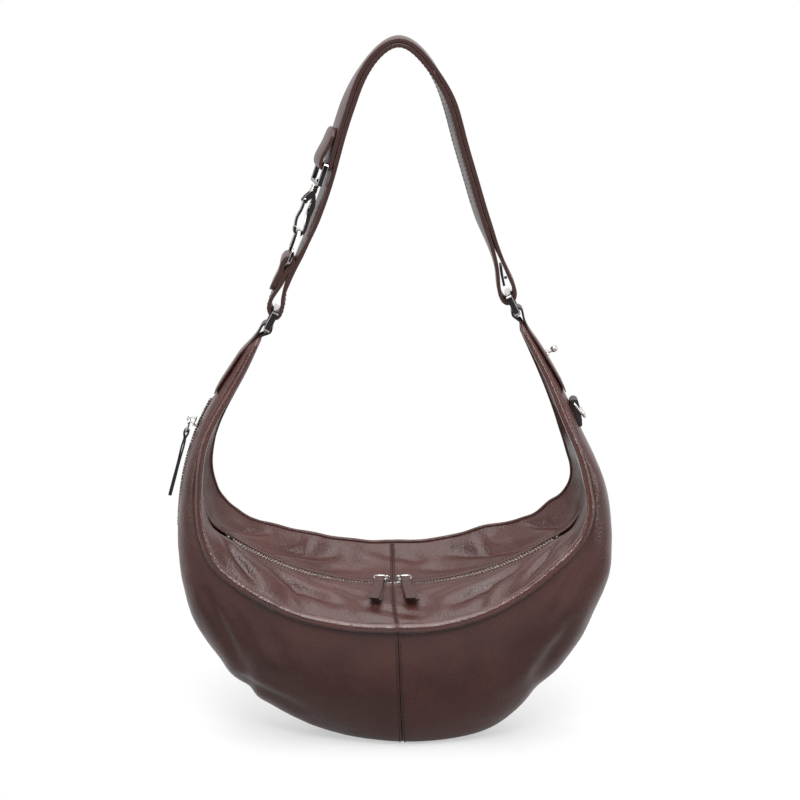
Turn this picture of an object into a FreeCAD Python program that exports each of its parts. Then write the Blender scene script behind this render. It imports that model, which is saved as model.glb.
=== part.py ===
import FreeCAD, Part
import math
import os
from FreeCAD import Vector

# Half moon shoulder bag of soft leather, in millimetres.
# The origin is on the floor under the centre seam, +X to the right seen from
# the front, +Y to the back and +Z up. The strap stands up as in use.

# Body
HALF_WIDTH = 205.0        # centre seam to the widest part of a side
HORN_HEIGHT = 388.0       # floor to the tip of a horn
FRONT_DEPTH = 66.0        # main zip forward to the front ridge
BACK_DEPTH = 60.0         # main zip back to the back ridge
LEATHER = 1.3             # panels and gussets
WELT_RADIUS = 4.6         # rolled welt at the centre of the ridge
WELT_TIP_RADIUS = 2.0     # rolled welt at the tip of a horn
SEAM_GAP = 0.3            # between leather pieces that are sewn together
WELT_GAP = 0.6            # welt to the leather on either side of it
BASE_SOFTNESS = 5.0       # how gently the sides run into the flat base
BASE_FLAT = 0.5           # depth to which the base is pressed flat
LINING = 0.6              # lining cloth
LINING_GAP = 0.9          # leather to lining
POCKET_CLOTH = 0.8        # inner slip pocket

# Main zip
ZIP_RADIUS = 275.0        # the zip lies on an arc in the middle plane
ZIP_SHIFT = -7.0          # lowest point of the arc, left of the centre
ZIP_HEIGHT = 152.0        # floor to the lowest point of the arc
ZIP_SLOT = 11.0           # between the leather edges along the zip
CHAIN_WIDTH = 4.4
CHAIN_HEIGHT = 2.2
TAPE_REACH = 9.5          # zip middle to the outer edge of a tape
TAPE = 0.8
TAPE_DROP = 2.0           # leather face down to the tape
STOP_LENGTH = 3.0
SLIDER_LENGTH = 9.6
SLIDER_GAP = 1.0          # between the two closed sliders
SLIDER_WIDTH = 8.6
SLIDER_PLATE = 1.5
SLIDER_CLEARANCE = 0.4
CROWN_LENGTH = 5.0
CROWN_WIDTH = 2.4
CROWN_WALL = 1.4
EYE_HEIGHT = 4.6          # leather face up to the hole in the crown
LINK_WIRE = 0.9           # radius
LINK_LENGTH = 12.5        # between wire centres
LINK_WIDTH = 10.4
LINK_CLEARANCE = 0.6
PULL_WIDTH = 8.6
PULL_LENGTH = 35.0
PULL_LEATHER = 1.5
PULL_GAP = 0.4            # between the two layers of a pull
PULL_SLOPE = 7.5          # degrees that a pull slopes down at rest
PULL_SPLAY = 12.0         # degrees that a pull turns outwards

# Side pocket zip on the left horn
SIDE_REST_STATION_SHARE = 8.95
SIDE_TAPE_STATION_SHARES = (6.9, 9.55)
SIDE_CHAIN_STATION_SHARES = (7.0, 9.5)
SIDE_PULL_LENGTH = 64.0
SIDE_PULL_LEAN = 15.5     # degrees from straight down
SIDE_LIFT = 0.3           # horn leather to the tape laid on it
SIDE_EYE_HEIGHT = 9.2     # tape up to the hole in the crown

# Strap and its hardware
STRAP_WIDTH = 30.0
STRAP_LEATHER = 3.4
STRAP_PITCH = 4.4         # one layer of the doubled strap to the next
STRAP_SPREAD = 100.0      # unit of the strap's half width
STRAP_RISE = 200.0        # unit of the strap's height
STRAP_GAP = 77.0          # horn height up to where the doubled strap parts
RING_LENGTH = 18.0        # between the bar centres of a horn ring
RING_BAR = 3.0
RING_THICKNESS = 3.8
RING_SIDE_CLEARANCE = 1.0
EYE_LENGTH = 19.0         # between the bar centres of the hook's eye
TAB_WIDTH = 24.0
TAB_LEATHER = 2.4
TAB_LOOP = 3.8            # inner radius of a horn tab's loop
TAB_LIFT = 0.45           # horn leather to the tab laid on it
KEEPER_WIDTH = 20.0
KEEPER_LEATHER = 2.2
KEEPER_STUD = 1.5         # radius
HOOK_BAR = 3.2
HOOK_DEPTH = 5.0
HOOK_LENGTH = 52.0        # eye bar to the bottom of the bow
HOOK_BOW = 4.6            # radius of the bow's centre line
HOOK_BARREL = 3.4         # radius
HOOK_BARREL_LENGTH = 8.0
HOOK_SHAFT = 1.2          # radius of the swivel shaft
HOOK_SHAFT_HEAD = 2.4     # radius
HOOK_CLEARANCE = 0.3
GATE_LENGTH = 25.0
GATE_BAR = 2.6
GATE_PIN = 0.9            # radius
GATE_PIN_CLEARANCE = 0.1
GATE_CHEEK = 1.4
GATE_KNOB = 2.4           # radius of the pin's heads
TIP_RING_WIRE = 1.6       # radius
TIP_RING_TOP = 12.0       # width of the ring where the hook holds it

# Hardware on the right horn
STUD_STATION_SHARE = 10.55
STUD_STEM = 1.7           # radius
STUD_STEM_LENGTH = 6.0
STUD_BALL = 3.4           # radius
STUD_FOOT = 3.2           # radius
STUD_FOOT_HEIGHT = 1.0
ANCHOR_STATION_SHARE = 9.45
ANCHOR_LENGTH = 27.0
ANCHOR_WIDTH = 15.0
ANCHOR_TOE = 1.8          # thickness at its lower end
ANCHOR_HEEL = 8.4         # thickness at the ring
ANCHOR_HOLE = 2.0         # radius
ANCHOR_LIFT = 0.35        # horn leather to the flat foot of the tab
D_RING_WIRE = 1.3         # radius
D_RING_LENGTH = 17.0
D_RING_SIDE = 2.2         # leg centre to the side of the tab
OVERRUN = 1.0             # cuts run past their faces by this

# Guide lines of the body from the centre, station 0, to a horn tip, station
# 11. Outer edge: shares of half width and horn height.
LEFT_OUTER_SHARES = [
    (-0.254, -0.008), (-0.478, 0.040), (-0.678, 0.108), (-0.839, 0.203),
    (-0.951, 0.300), (-1.005, 0.412), (-1.020, 0.526), (-0.992, 0.664),
    (-0.911, 0.796), (-0.804, 0.898), (-0.688, 0.990)]
RIGHT_OUTER_SHARES = [
    (0.254, -0.022), (0.478, 0.034), (0.654, 0.132), (0.800, 0.222),
    (0.898, 0.316), (0.961, 0.412), (0.971, 0.528), (0.937, 0.649),
    (0.839, 0.768), (0.727, 0.894), (0.580, 1.023)]
CENTRE_OUTER_SHARE = (0.0, -0.042)
# Ridges: shares of half width, of front or back depth, and of horn height.
LEFT_FRONT_SHARES = [
    (-0.234, -0.985, 0.340), (-0.468, -0.940, 0.366), (-0.659, -0.864, 0.412),
    (-0.805, -0.758, 0.464), (-0.878, -0.652, 0.523), (-0.907, -0.561, 0.593),
    (-0.907, -0.485, 0.665), (-0.883, -0.409, 0.755), (-0.815, -0.333, 0.835),
    (-0.722, -0.273, 0.918), (-0.644, -0.212, 0.997)]
RIGHT_FRONT_SHARES = [
    (0.224, -0.985, 0.345), (0.439, -0.940, 0.384), (0.610, -0.864, 0.438),
    (0.741, -0.758, 0.495), (0.824, -0.652, 0.544), (0.859, -0.561, 0.603),
    (0.849, -0.485, 0.660), (0.810, -0.409, 0.737), (0.741, -0.333, 0.820),
    (0.668, -0.273, 0.912), (0.556, -0.197, 1.026)]
CENTRE_FRONT_SHARE = (-0.010, -1.0, 0.335)
LEFT_BACK_SHARES = [
    (-0.254, 0.983, 0.454), (-0.473, 0.950, 0.477), (-0.659, 0.867, 0.505),
    (-0.771, 0.767, 0.544), (-0.839, 0.667, 0.588), (-0.868, 0.567, 0.637),
    (-0.873, 0.500, 0.691), (-0.844, 0.433, 0.763), (-0.780, 0.367, 0.838),
    (-0.702, 0.300, 0.915), (-0.634, 0.233, 0.992)]
RIGHT_BACK_SHARES = [
    (0.195, 0.983, 0.456), (0.400, 0.950, 0.487), (0.571, 0.867, 0.513),
    (0.683, 0.767, 0.552), (0.761, 0.667, 0.593), (0.795, 0.567, 0.637),
    (0.785, 0.500, 0.686), (0.751, 0.433, 0.742), (0.707, 0.367, 0.814),
    (0.639, 0.300, 0.907), (0.546, 0.217, 1.018)]
CENTRE_BACK_SHARE = (-0.039, 1.0, 0.448)
ZIP_ANGLE_SHARES = [0.240, 0.500, 0.718, 0.887, 1.0]
ZIP_END_SHARE = 0.8259        # where the zip ends, of the half width
ZIP_STOP_SHARE = 0.906        # where its teeth stop, of the angle to its end
LAST_STATION = 11
ZIP_END_STATION = 5
SLOT_CLOSED_STATION_SHARE = 5.8
LINED_STATION_SHARE = 5.4
POCKET_STATION_SHARE = 1.8
PANEL_BELLY_SHARE = 0.60      # how far the base runs level, of the depth
HORN_BELLY_SHARE = 0.90       # the same in the horns
BELLY_STATION_SHARES = (3.0, 6.5)  # between which the one turns into the other
PANEL_FLANK_SHARE = 0.50      # how far the side runs straight below a ridge
GUSSET_LEVEL_SHARE = 0.45     # how far the gusset runs level from the zip
GUSSET_FALL_SHARE = 0.55      # where it turns down to the ridge
HORN_HOLLOW_SHARE = 0.08      # how far a horn's inner face sinks in
HIGH_SHARE = 40.0             # of the base's softness, where it has no effect
SEAM_STATION_SHARE = 0.004    # half the centre seam, of a station
LINING_TOP_SHARE = 0.93
POCKET_SHARES = (0.35, 0.85)
SIDE_TAPE_SHARES = (0.03, 0.27)
SIDE_CHAIN_SHARES = (0.115, 0.185)
SIDE_POCKET_STATION_SHARES = (5.6, 8.6)
SIDE_POCKET_SHARES = (0.03, 0.60)
SIDE_MIDDLE_STATION_SHARE = 8.2
TAB_LEFT_STATION_SHARE = 9.75
TAB_RIGHT_STATION_SHARE = 9.95

# The doubled strap's middle line, in shares of its spread and rise.
ARCH_SHARES = [
    (-0.952, 0.005), (-0.794, 0.189), (-0.665, 0.371), (-0.565, 0.551),
    (-0.446, 0.730), (-0.305, 0.868), (-0.015, 0.983), (0.311, 0.845),
    (0.429, 0.730), (0.533, 0.551), (0.639, 0.371), (0.750, 0.189)]
RIGHT_LOOP_SHARES = [
    (0.869, 0.064), (0.960, -0.035), (1.025, -0.105), (1.050, -0.150),
    (1.030, -0.185), (0.975, -0.197), (0.930, -0.175), (0.905, -0.135),
    (0.890, -0.065), (0.826, 0.055)]
LEFT_LOOP_SHARES = [
    (-1.012, -0.087), (-1.070, -0.180), (-1.086, -0.235), (-1.135, -0.267),
    (-1.188, -0.243), (-1.195, -0.203), (-1.138, -0.147), (-1.074, -0.092),
    (-1.019, -0.042), (-0.984, -0.010), (-1.018, 0.014), (-1.062, -0.006),
    (-1.081, -0.040), (-1.128, -0.092), (-1.182, -0.143)]
HOOK_LOOP_SHARES = [
    (-0.606, 0.600), (-0.670, 0.5225), (-0.720, 0.4775), (-0.741, 0.445),
    (-0.737, 0.4275), (-0.709, 0.417), (-0.674, 0.419), (-0.653, 0.433),
    (-0.627, 0.480)]
KEEPER_SHARES = [(0.920, -0.030), (0.933, -0.075), (0.952, -0.120)]
KEEPER_STUD_SHARE = (0.939, -0.090)
RING_TOP_LEFT_SHARE = (-1.138, -0.240)
RING_TOP_RIGHT_SHARE = (0.992, -0.164)
RING_LEFT_TURN = 27.5         # degrees from straight down
RING_RIGHT_TURN = -26.5
EYE_TOP_SHARE = (-0.697, 0.439)
EYE_TURN = 19.0
HOOK_TURN = 20.5
TIP_RING_FOOT_SHARE = (-1.021, -0.009)
KNEE_SHARE = 0.36             # where the tip ring starts to narrow
TIP_SHARES = (-1.4104, 1.189)  # horn tips left and right, of the strap's spread
ARM_SHARES = (0.60, 0.983)    # rise from which the arch leaves the tips' spacing
SKIPPED_POINT_COUNT = 3       # arch points that the outer layer leaves to the hook

# Bends of the small pieces, as shares of their own radius, wire or length.
PULL_NECK_SHARE = 3.2
PULL_FOLD_SHARES = [(1.0, -0.5), (0.72, 0.70)]
TAB_LOOP_ANGLES = (-10, 30, 65, 90, 115, 150, 190, 215)
TAB_TAIL_SHARES = (0.05, -2.4)
SHAFT_SLACK_SHARE = 0.2
HOOK_NECK_SHARES = [(0.55, -0.7), (1.0, -2.2)]
BOW_CORNER_SHARE = 0.707
GATE_BULGE_SHARE = 0.45
GATE_BEND_SHARES = (0.35, 0.68)
D_RING_KNEE_SHARES = (0.6, 2.0)
D_RING_TOE_SHARES = (0.5, 3.0)

# Points across the surfaces: columns per station, rows, and whole strips.
PANEL_COLUMNS = 3
PANEL_ROWS = 17
GUSSET_COLUMNS = 2
GUSSET_ROWS = 7
LINING_COLUMNS = 33
SMALL_COLUMNS = 9
SMALL_ROWS = 5
SIDE_COLUMNS = 12
TAB_POINTS = 6
STEP_SHARE = 0.01             # of a station or section, for slopes
PARALLEL_SHARE = 1e-9         # below this two directions count as one
STRAIGHT_SHARE = 1e-4         # below this an arc counts as a line

Y_AXIS = Vector(0, 1, 0)
ZIP_CENTRE = Vector(ZIP_SHIFT, 0, ZIP_HEIGHT + ZIP_RADIUS)
ZIP_END_ANGLE = math.degrees(math.asin(HALF_WIDTH * ZIP_END_SHARE / ZIP_RADIUS))
ZIP_STOP_ANGLE = ZIP_END_ANGLE * ZIP_STOP_SHARE
ZIP_REST_ANGLE = math.degrees((SLIDER_LENGTH + SLIDER_GAP) / 2 / ZIP_RADIUS)
STRAP_FOOT = HORN_HEIGHT + STRAP_GAP


def turn(angle):
    """Rotation in degrees about the Y axis."""
    return FreeCAD.Rotation(Y_AXIS, angle)


def turned(shape, angle, centre):
    """Copy of a shape turned about the Y axis through a centre."""
    copy = shape.copy()
    copy.rotate(centre, Y_AXIS, angle)
    return copy


def moved(shape, offset, angle=0.0):
    """Copy of a shape turned about the origin's Y axis, then moved."""
    copy = turned(shape, angle, Vector())
    copy.translate(offset)
    return copy


def box(low, high):
    """Block between two corners."""
    size = high - low
    return Part.makeBox(size.x, size.y, size.z, low)


def smooth_step(value, start, end):
    """0 before start, 1 after end, with a smooth change between."""
    share = min(max((value - start) / (end - start), 0.0), 1.0)
    return share * share * (3.0 - 2.0 * share)


def bezier(a, b, c, d, share):
    """Point on a cubic Bezier curve."""
    rest = 1.0 - share
    return (a * rest ** 3 + b * (3 * rest * rest * share)
            + c * (3 * rest * share * share) + d * share ** 3)


def pressed(point):
    """Point of the body with the underside pressed flat against the floor."""
    share = (point.z + BASE_FLAT) / BASE_SOFTNESS
    if share > HIGH_SHARE:
        return point
    return Vector(point.x, point.y, BASE_SOFTNESS * math.log1p(math.exp(share)) - BASE_FLAT)


def guide(left, centre, right):
    """Smooth curve through guide points, with the station as parameter."""
    points = list(reversed(left)) + [centre] + right
    stations = [float(i - LAST_STATION) for i in range(len(points))]
    curve = Part.BSplineCurve()
    curve.interpolate(Points=points, Parameters=stations)
    return curve


def outer_point(share):
    return Vector(share[0] * HALF_WIDTH, 0, share[1] * HORN_HEIGHT)


def ridge_point(share, depth):
    return Vector(share[0] * HALF_WIDTH, share[1] * depth, share[2] * HORN_HEIGHT)


def crest_points(outer, front, back, side):
    """The zip's arc, then the middle of the horn's inner face."""
    points = []
    for station in range(1, LAST_STATION + 1):
        if station <= ZIP_END_STATION:
            angle = ZIP_END_ANGLE * ZIP_ANGLE_SHARES[station - 1]
            points.append(zip_point(-side * angle))
        else:
            i = station - 1
            middle = (front[i] + back[i]) * 0.5
            middle = middle + (outer[i] - middle) * HORN_HOLLOW_SHARE
            points.append(Vector(middle.x, 0, middle.z))
    return points


def zip_point(angle):
    """Point on the zip's arc; a positive angle is to the left."""
    return ZIP_CENTRE + turn(angle).multVec(Vector(0, 0, -ZIP_RADIUS))


LEFT_OUTER = [outer_point(s) for s in LEFT_OUTER_SHARES]
RIGHT_OUTER = [outer_point(s) for s in RIGHT_OUTER_SHARES]
LEFT_FRONT = [ridge_point(s, FRONT_DEPTH) for s in LEFT_FRONT_SHARES]
RIGHT_FRONT = [ridge_point(s, FRONT_DEPTH) for s in RIGHT_FRONT_SHARES]
LEFT_BACK = [ridge_point(s, BACK_DEPTH) for s in LEFT_BACK_SHARES]
RIGHT_BACK = [ridge_point(s, BACK_DEPTH) for s in RIGHT_BACK_SHARES]
OUTER = guide(LEFT_OUTER, outer_point(CENTRE_OUTER_SHARE), RIGHT_OUTER)
FRONT = guide(LEFT_FRONT, ridge_point(CENTRE_FRONT_SHARE, FRONT_DEPTH), RIGHT_FRONT)
BACK = guide(LEFT_BACK, ridge_point(CENTRE_BACK_SHARE, BACK_DEPTH), RIGHT_BACK)
CREST = guide(crest_points(LEFT_OUTER, LEFT_FRONT, LEFT_BACK, -1), zip_point(0),
              crest_points(RIGHT_OUTER, RIGHT_FRONT, RIGHT_BACK, 1))


def welt_radius(station):
    share = abs(station) / LAST_STATION
    return WELT_RADIUS + (WELT_TIP_RADIUS - WELT_RADIUS) * share


def end_share(ridge, station, control):
    """Share of a section at which it stops, short of the welt on the ridge."""
    along = ridge.tangent(station)[0]
    last = control - ridge.value(station)
    square = (last - along * last.dot(along)).Length
    return 1.0 - (welt_radius(station) + WELT_GAP) / (3.0 * square)


def panel_point(station, share, ridge):
    """Outside of a front or back panel: share 0 at the outer edge."""
    top = ridge.value(station)
    side = math.copysign(1.0, top.y)
    edge = OUTER.value(station) + Y_AXIS * (side * SEAM_GAP / 2)
    down = Vector(edge.x - top.x, 0, edge.z - top.z)
    horn = smooth_step(abs(station), *BELLY_STATION_SHARES)
    belly = PANEL_BELLY_SHARE + (HORN_BELLY_SHARE - PANEL_BELLY_SHARE) * horn
    level = edge + Y_AXIS * (top.y * belly)
    flank = top + down * PANEL_FLANK_SHARE
    end = end_share(ridge, station, flank)
    return pressed(bezier(edge, level, flank, top, share * end))


def gusset_point(station, share, ridge):
    """Outside of a top gusset: share 0 at the zip."""
    top = ridge.value(station)
    side = math.copysign(1.0, top.y)
    closing = smooth_step(abs(station), ZIP_END_STATION, SLOT_CLOSED_STATION_SHARE)
    slot = ZIP_SLOT + (SEAM_GAP - ZIP_SLOT) * closing
    edge = CREST.value(station) + Y_AXIS * (side * slot / 2)
    level = edge + Y_AXIS * (top.y * GUSSET_LEVEL_SHARE)
    fall = level + (top - level) * GUSSET_FALL_SHARE
    end = end_share(ridge, station, fall)
    return pressed(bezier(edge, level, fall, top, share * end))


def outward(surface, station, share, ridge):
    """Unit normal of a surface, away from the inside of the bag."""
    along = surface(station + STEP_SHARE, share, ridge) - surface(station - STEP_SHARE, share, ridge)
    across = surface(station, share + STEP_SHARE, ridge) - surface(station, share - STEP_SHARE, ridge)
    facing = math.copysign(1.0, ridge.value(0).y)
    if surface is panel_point:
        facing = -facing
    return along.cross(across).normalize() * facing


def spaced(low, high, count):
    return [low + (high - low) * i / (count - 1) for i in range(count)]


def skin(surface, ridge, stations, shares, near, far):
    """Solid between two offsets from a surface, measured inwards."""
    faces = []
    for depth in (near, far):
        grid = [[surface(u, v, ridge) - outward(surface, u, v, ridge) * depth
                 for v in shares] for u in stations]
        patch = Part.BSplineSurface()
        patch.interpolate(grid)
        faces.append(patch.toShape())
    sides = [Part.makeRuledSurface(a, b)
             for a, b in zip(faces[0].Edges, faces[1].Edges)]
    shell = Part.Shell(faces + sides)
    shell.sewShape()
    solid = Part.Solid(Part.Shell(shell.Faces))
    if solid.Volume < 0:
        solid.reverse()
    return solid


def half_stations(side, steps_each=GUSSET_COLUMNS):
    steps = steps_each * LAST_STATION
    first = side * SEAM_STATION_SHARE
    return [first] + [side * LAST_STATION * i / steps for i in range(1, steps + 1)]


def panel(ridge, side):
    """Half of the front or back panel, flat where it meets the floor."""
    stations = half_stations(side, PANEL_COLUMNS)
    solid = skin(panel_point, ridge, stations, spaced(0, 1, PANEL_ROWS), 0, LEATHER)
    floor = box(Vector(-HALF_WIDTH, -FRONT_DEPTH, -BACK_DEPTH), Vector(HALF_WIDTH, BACK_DEPTH, 0))
    return solid.cut(floor)


def gusset(ridge, side):
    """Half of the gusset in front of or behind the main zip."""
    return skin(gusset_point, ridge, half_stations(side), spaced(0, 1, GUSSET_ROWS), 0, LEATHER)


def welt(ridge, side):
    """Rolled welt along half of a ridge, thinner towards the horn."""
    rings = []
    for station in half_stations(side):
        along = ridge.tangent(station)[0] * side
        width = (Y_AXIS - along * Y_AXIS.dot(along)).normalize()
        height = along.cross(width)
        circle = Part.Wire(Part.makeCircle(welt_radius(station)))
        circle.Placement = FreeCAD.Placement(
            pressed(ridge.value(station)), FreeCAD.Rotation(width, height, along, "ZXY"))
        rings.append(circle)
    return Part.makeLoft(rings, True)


def lining(ridge):
    """Lining cloth inside one side of the pouch."""
    near = LEATHER + LINING_GAP
    stations = spaced(-LINED_STATION_SHARE, LINED_STATION_SHARE, LINING_COLUMNS)
    shares = spaced(0, LINING_TOP_SHARE, PANEL_ROWS)
    return skin(panel_point, ridge, stations, shares, near, near + LINING)


def inner_pocket():
    """Slip pocket sewn to the back lining."""
    near = LEATHER + LINING + 2 * LINING_GAP
    stations = spaced(-POCKET_STATION_SHARE, POCKET_STATION_SHARE, SMALL_COLUMNS)
    shares = spaced(*POCKET_SHARES, SMALL_ROWS)
    return skin(panel_point, BACK, stations, shares, near, near + POCKET_CLOTH)


def zip_arc(low_y, high_y, low_drop, high_drop, start, end):
    """Band along the zip's arc, between two drops below the leather face."""
    low = Vector(ZIP_SHIFT, low_y, ZIP_HEIGHT - high_drop)
    high = Vector(ZIP_SHIFT, high_y, ZIP_HEIGHT - low_drop)
    corners = [low, Vector(low.x, high.y, low.z), high, Vector(low.x, low.y, high.z), low]
    face = turned(Part.Face(Part.makePolygon(corners)), start, ZIP_CENTRE)
    return face.revolve(ZIP_CENTRE, Y_AXIS, end - start)


TAPE_INNER = CHAIN_WIDTH / 2 + SEAM_GAP
CHAIN_DROP = TAPE_DROP + TAPE / 2
CHAIN_START = ZIP_REST_ANGLE + math.degrees(SLIDER_LENGTH / 4 / ZIP_RADIUS)


def zip_tape(side):
    near, far = sorted((side * TAPE_INNER, side * TAPE_REACH))
    return zip_arc(near, far, TAPE_DROP, TAPE_DROP + TAPE, -ZIP_STOP_ANGLE, ZIP_STOP_ANGLE)


def stop_angle():
    return math.degrees(STOP_LENGTH / ZIP_RADIUS)


def zip_chain(side):
    """Closed teeth from a slider to the end stop."""
    start, end = sorted((-side * CHAIN_START, -side * (ZIP_STOP_ANGLE - stop_angle())))
    half = CHAIN_WIDTH / 2
    drops = (CHAIN_DROP - CHAIN_HEIGHT / 2, CHAIN_DROP + CHAIN_HEIGHT / 2)
    return zip_arc(-half, half, *drops, start, end)


def zip_stops():
    """Metal stops that end the chain on both sides."""
    half = CHAIN_WIDTH / 2
    drops = (CHAIN_DROP - CHAIN_HEIGHT / 2, CHAIN_DROP + CHAIN_HEIGHT / 2)
    stops = []
    for side in (-1, 1):
        start, end = sorted((-side * (ZIP_STOP_ANGLE - stop_angle()), -side * ZIP_STOP_ANGLE))
        gap = math.degrees(SEAM_GAP / ZIP_RADIUS)
        near = start + gap if side < 0 else start
        far = end if side < 0 else end - gap
        stops.append(zip_arc(-half, half, *drops, near, far))
    return Part.makeCompound(stops)


def crown(eye_height):
    """Bridge on a slider, with a hole along Y for the link; foot at 0."""
    radius = LINK_WIRE + LINK_CLEARANCE
    top = eye_height + radius + CROWN_WALL
    half = Vector(CROWN_LENGTH / 2, CROWN_WIDTH / 2, 0)
    block = box(Vector(-half.x, -half.y, 0), Vector(half.x, half.y, top))
    ends = [e for e in block.Edges
            if e.BoundBox.ZMin > eye_height and e.BoundBox.XLength < SEAM_GAP]
    block = block.makeFillet(CROWN_WALL, ends)
    hole = Part.makeCylinder(radius, CROWN_WIDTH + 2 * OVERRUN,
                             Vector(0, -half.y - OVERRUN, eye_height), Y_AXIS)
    return block.cut(hole)


def slider():
    """Main zip slider at the zip's lowest point, nose towards -X."""
    roof = -(CHAIN_DROP - CHAIN_HEIGHT / 2) + SLIDER_CLEARANCE
    floor = -(CHAIN_DROP + CHAIN_HEIGHT / 2) - SLIDER_CLEARANCE
    long = SLIDER_LENGTH / 2
    wide = SLIDER_WIDTH / 2
    top = box(Vector(-long, -wide, roof), Vector(long, wide, roof + SLIDER_PLATE))
    bottom = box(Vector(-long, -wide, floor - SLIDER_PLATE), Vector(long, wide, floor))
    neck = box(Vector(-long, -CHAIN_WIDTH / 4, floor - SLIDER_PLATE),
               Vector(-long / 2, CHAIN_WIDTH / 4, roof + SLIDER_PLATE))
    bridge = crown(EYE_HEIGHT - roof - SLIDER_PLATE)
    bridge.translate(Vector(0, 0, roof + SLIDER_PLATE))
    return top.fuse([bottom, neck, bridge]).removeSplitter()


def wire_loop(points, radius):
    """Closed loop of round wire with ball corners."""
    pieces = []
    for i, start in enumerate(points):
        end = points[(i + 1) % len(points)]
        along = end - start
        pieces.append(Part.makeCylinder(radius, along.Length, start, along))
        pieces.append(Part.makeSphere(radius, start))
    return pieces[0].fuse(pieces[1:]).removeSplitter()


def link():
    """Wire link lying flat along +X, its near bar in the crown's hole."""
    half = LINK_WIDTH / 2
    corners = [Vector(0, -half, 0), Vector(LINK_LENGTH, -half, 0),
               Vector(LINK_LENGTH, half, 0), Vector(0, half, 0)]
    return wire_loop(corners, LINK_WIRE)


def arc_steps(points):
    """Tangent arcs through points: start, middle, end and their normals."""
    tangents = []
    for i in range(len(points)):
        before = points[max(i - 1, 0)]
        after = points[min(i + 1, len(points) - 1)]
        tangents.append((after - before).normalize())
    steps = []
    for i in range(len(points) - 1):
        a, b, u, v = points[i], points[i + 1], tangents[i], tangents[i + 1]
        chord = b - a
        bend = 2.0 * (1.0 - u.dot(v))
        sweep = chord.dot(u + v)
        if bend < PARALLEL_SHARE:
            reach = chord.dot(chord) / (2.0 * sweep)
        else:
            reach = (math.sqrt(sweep ** 2 + bend * chord.dot(chord)) - sweep) / bend
        joint = (a + b + (u - v) * reach) * 0.5
        middle = (b - a - (u + v) * reach).normalize()
        steps += [(a, joint, u, middle), (joint, b, middle, v)]
    return steps


def side_edge(step, shift):
    """One arc or line of a ribbon's edge, at a distance from its middle."""
    a, b, u, v = step
    left_a = Vector(-u.z, 0, u.x)
    left_b = Vector(-v.z, 0, v.x)
    start = a + left_a * shift
    end = b + left_b * shift
    if (u - v).Length < STRAIGHT_SHARE:
        return Part.LineSegment(start, end).toShape()
    chord = b - a
    radius = chord.dot(chord) / (2.0 * left_a.dot(chord))
    centre = a + left_a * radius
    half_way = (left_a + left_b).normalize()
    return Part.Arc(start, centre + half_way * (shift - radius), end).toShape()


def ribbon(points, thickness, width):
    """Leather strip bent along points in the XZ plane, centred on Y."""
    steps = arc_steps(points)
    left = [side_edge(s, thickness / 2) for s in steps]
    right = [side_edge(s, -thickness / 2) for s in steps]
    ends = []
    for edges_end in (0, -1):
        near = left[edges_end].Vertexes[edges_end].Point
        far = right[edges_end].Vertexes[edges_end].Point
        ends.append(Part.LineSegment(near, far).toShape())
    wire = Part.Wire(Part.__sortEdges__(left + right + ends))
    solid = Part.Face(wire).extrude(Y_AXIS * width)
    solid.translate(Y_AXIS * (-width / 2))
    return solid


def folded_pull(length, width):
    """Leather strip folded over a wire at the origin, hanging along -Z."""
    loop = LINK_WIRE + SEAM_GAP + PULL_LEATHER / 2
    lay = (PULL_LEATHER + PULL_GAP) / 2
    layer_up = [Vector(lay, 0, -length), Vector(lay, 0, -loop * PULL_NECK_SHARE)]
    layer_up += [Vector(loop * x, 0, loop * z) for x, z in PULL_FOLD_SHARES]
    layer_down = [Vector(-p.x, 0, p.z) for p in reversed(layer_up)]
    return ribbon(layer_up + [Vector(0, 0, loop)] + layer_down, PULL_LEATHER, width)


def main_pull():
    """Pull on a link's front bar, lying forwards and a little down."""
    strip = folded_pull(PULL_LENGTH, PULL_WIDTH)
    strip.rotate(Vector(), Vector(0, 0, 1), 90)
    strip.rotate(Vector(), Vector(1, 0, 0), -90 + PULL_SLOPE)
    strip.translate(Vector(LINK_LENGTH / 2, -LINK_WIDTH / 2, 0))
    return strip


def on_zip(shape, side, splay=0.0):
    """Shape made at the origin for the right side, set on the zip at rest."""
    copy = shape.copy()
    copy.rotate(Vector(0, 0, EYE_HEIGHT), Vector(0, 0, 1), splay)
    if side < 0:
        copy = copy.mirror(Vector(), Vector(1, 0, 0))
    copy.translate(zip_point(0))
    return turned(copy, -side * ZIP_REST_ANGLE, ZIP_CENTRE)


def raised(shape):
    copy = shape.copy()
    copy.translate(Vector(0, 0, EYE_HEIGHT))
    return copy


# Side zip: it lies on the back panel of the left horn, on an arc about the
# circle that the outer edge follows there.
SIDE_SHARE = sum(SIDE_CHAIN_SHARES) / 2
SIDE_ARC_SHARES = (SIDE_TAPE_STATION_SHARES[0], SIDE_MIDDLE_STATION_SHARE, SIDE_TAPE_STATION_SHARES[1])
SIDE_ARC = [panel_point(-s, SIDE_SHARE, BACK) for s in SIDE_ARC_SHARES]
SIDE_FLAT_ARC = [Vector(p.x, 0, p.z) for p in SIDE_ARC]
SIDE_CIRCLE = Part.Circle(*SIDE_FLAT_ARC)
SIDE_CENTRE = SIDE_CIRCLE.Center
SIDE_REST = panel_point(-SIDE_REST_STATION_SHARE, SIDE_SHARE, BACK)
SIDE_TURN = math.degrees(math.atan2(SIDE_REST.z - SIDE_CENTRE.z, SIDE_CENTRE.x - SIDE_REST.x))
SIDE_FACE = SIDE_CIRCLE.Radius + SIDE_LIFT + TAPE


def side_strip(stations, shares, near, far):
    """Strip laid on the outside of the left horn's back panel."""
    low, high = stations
    columns = spaced(-low, -high, SIDE_COLUMNS)
    return skin(panel_point, BACK, columns, spaced(*shares, SMALL_ROWS), -near, -far)


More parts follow.
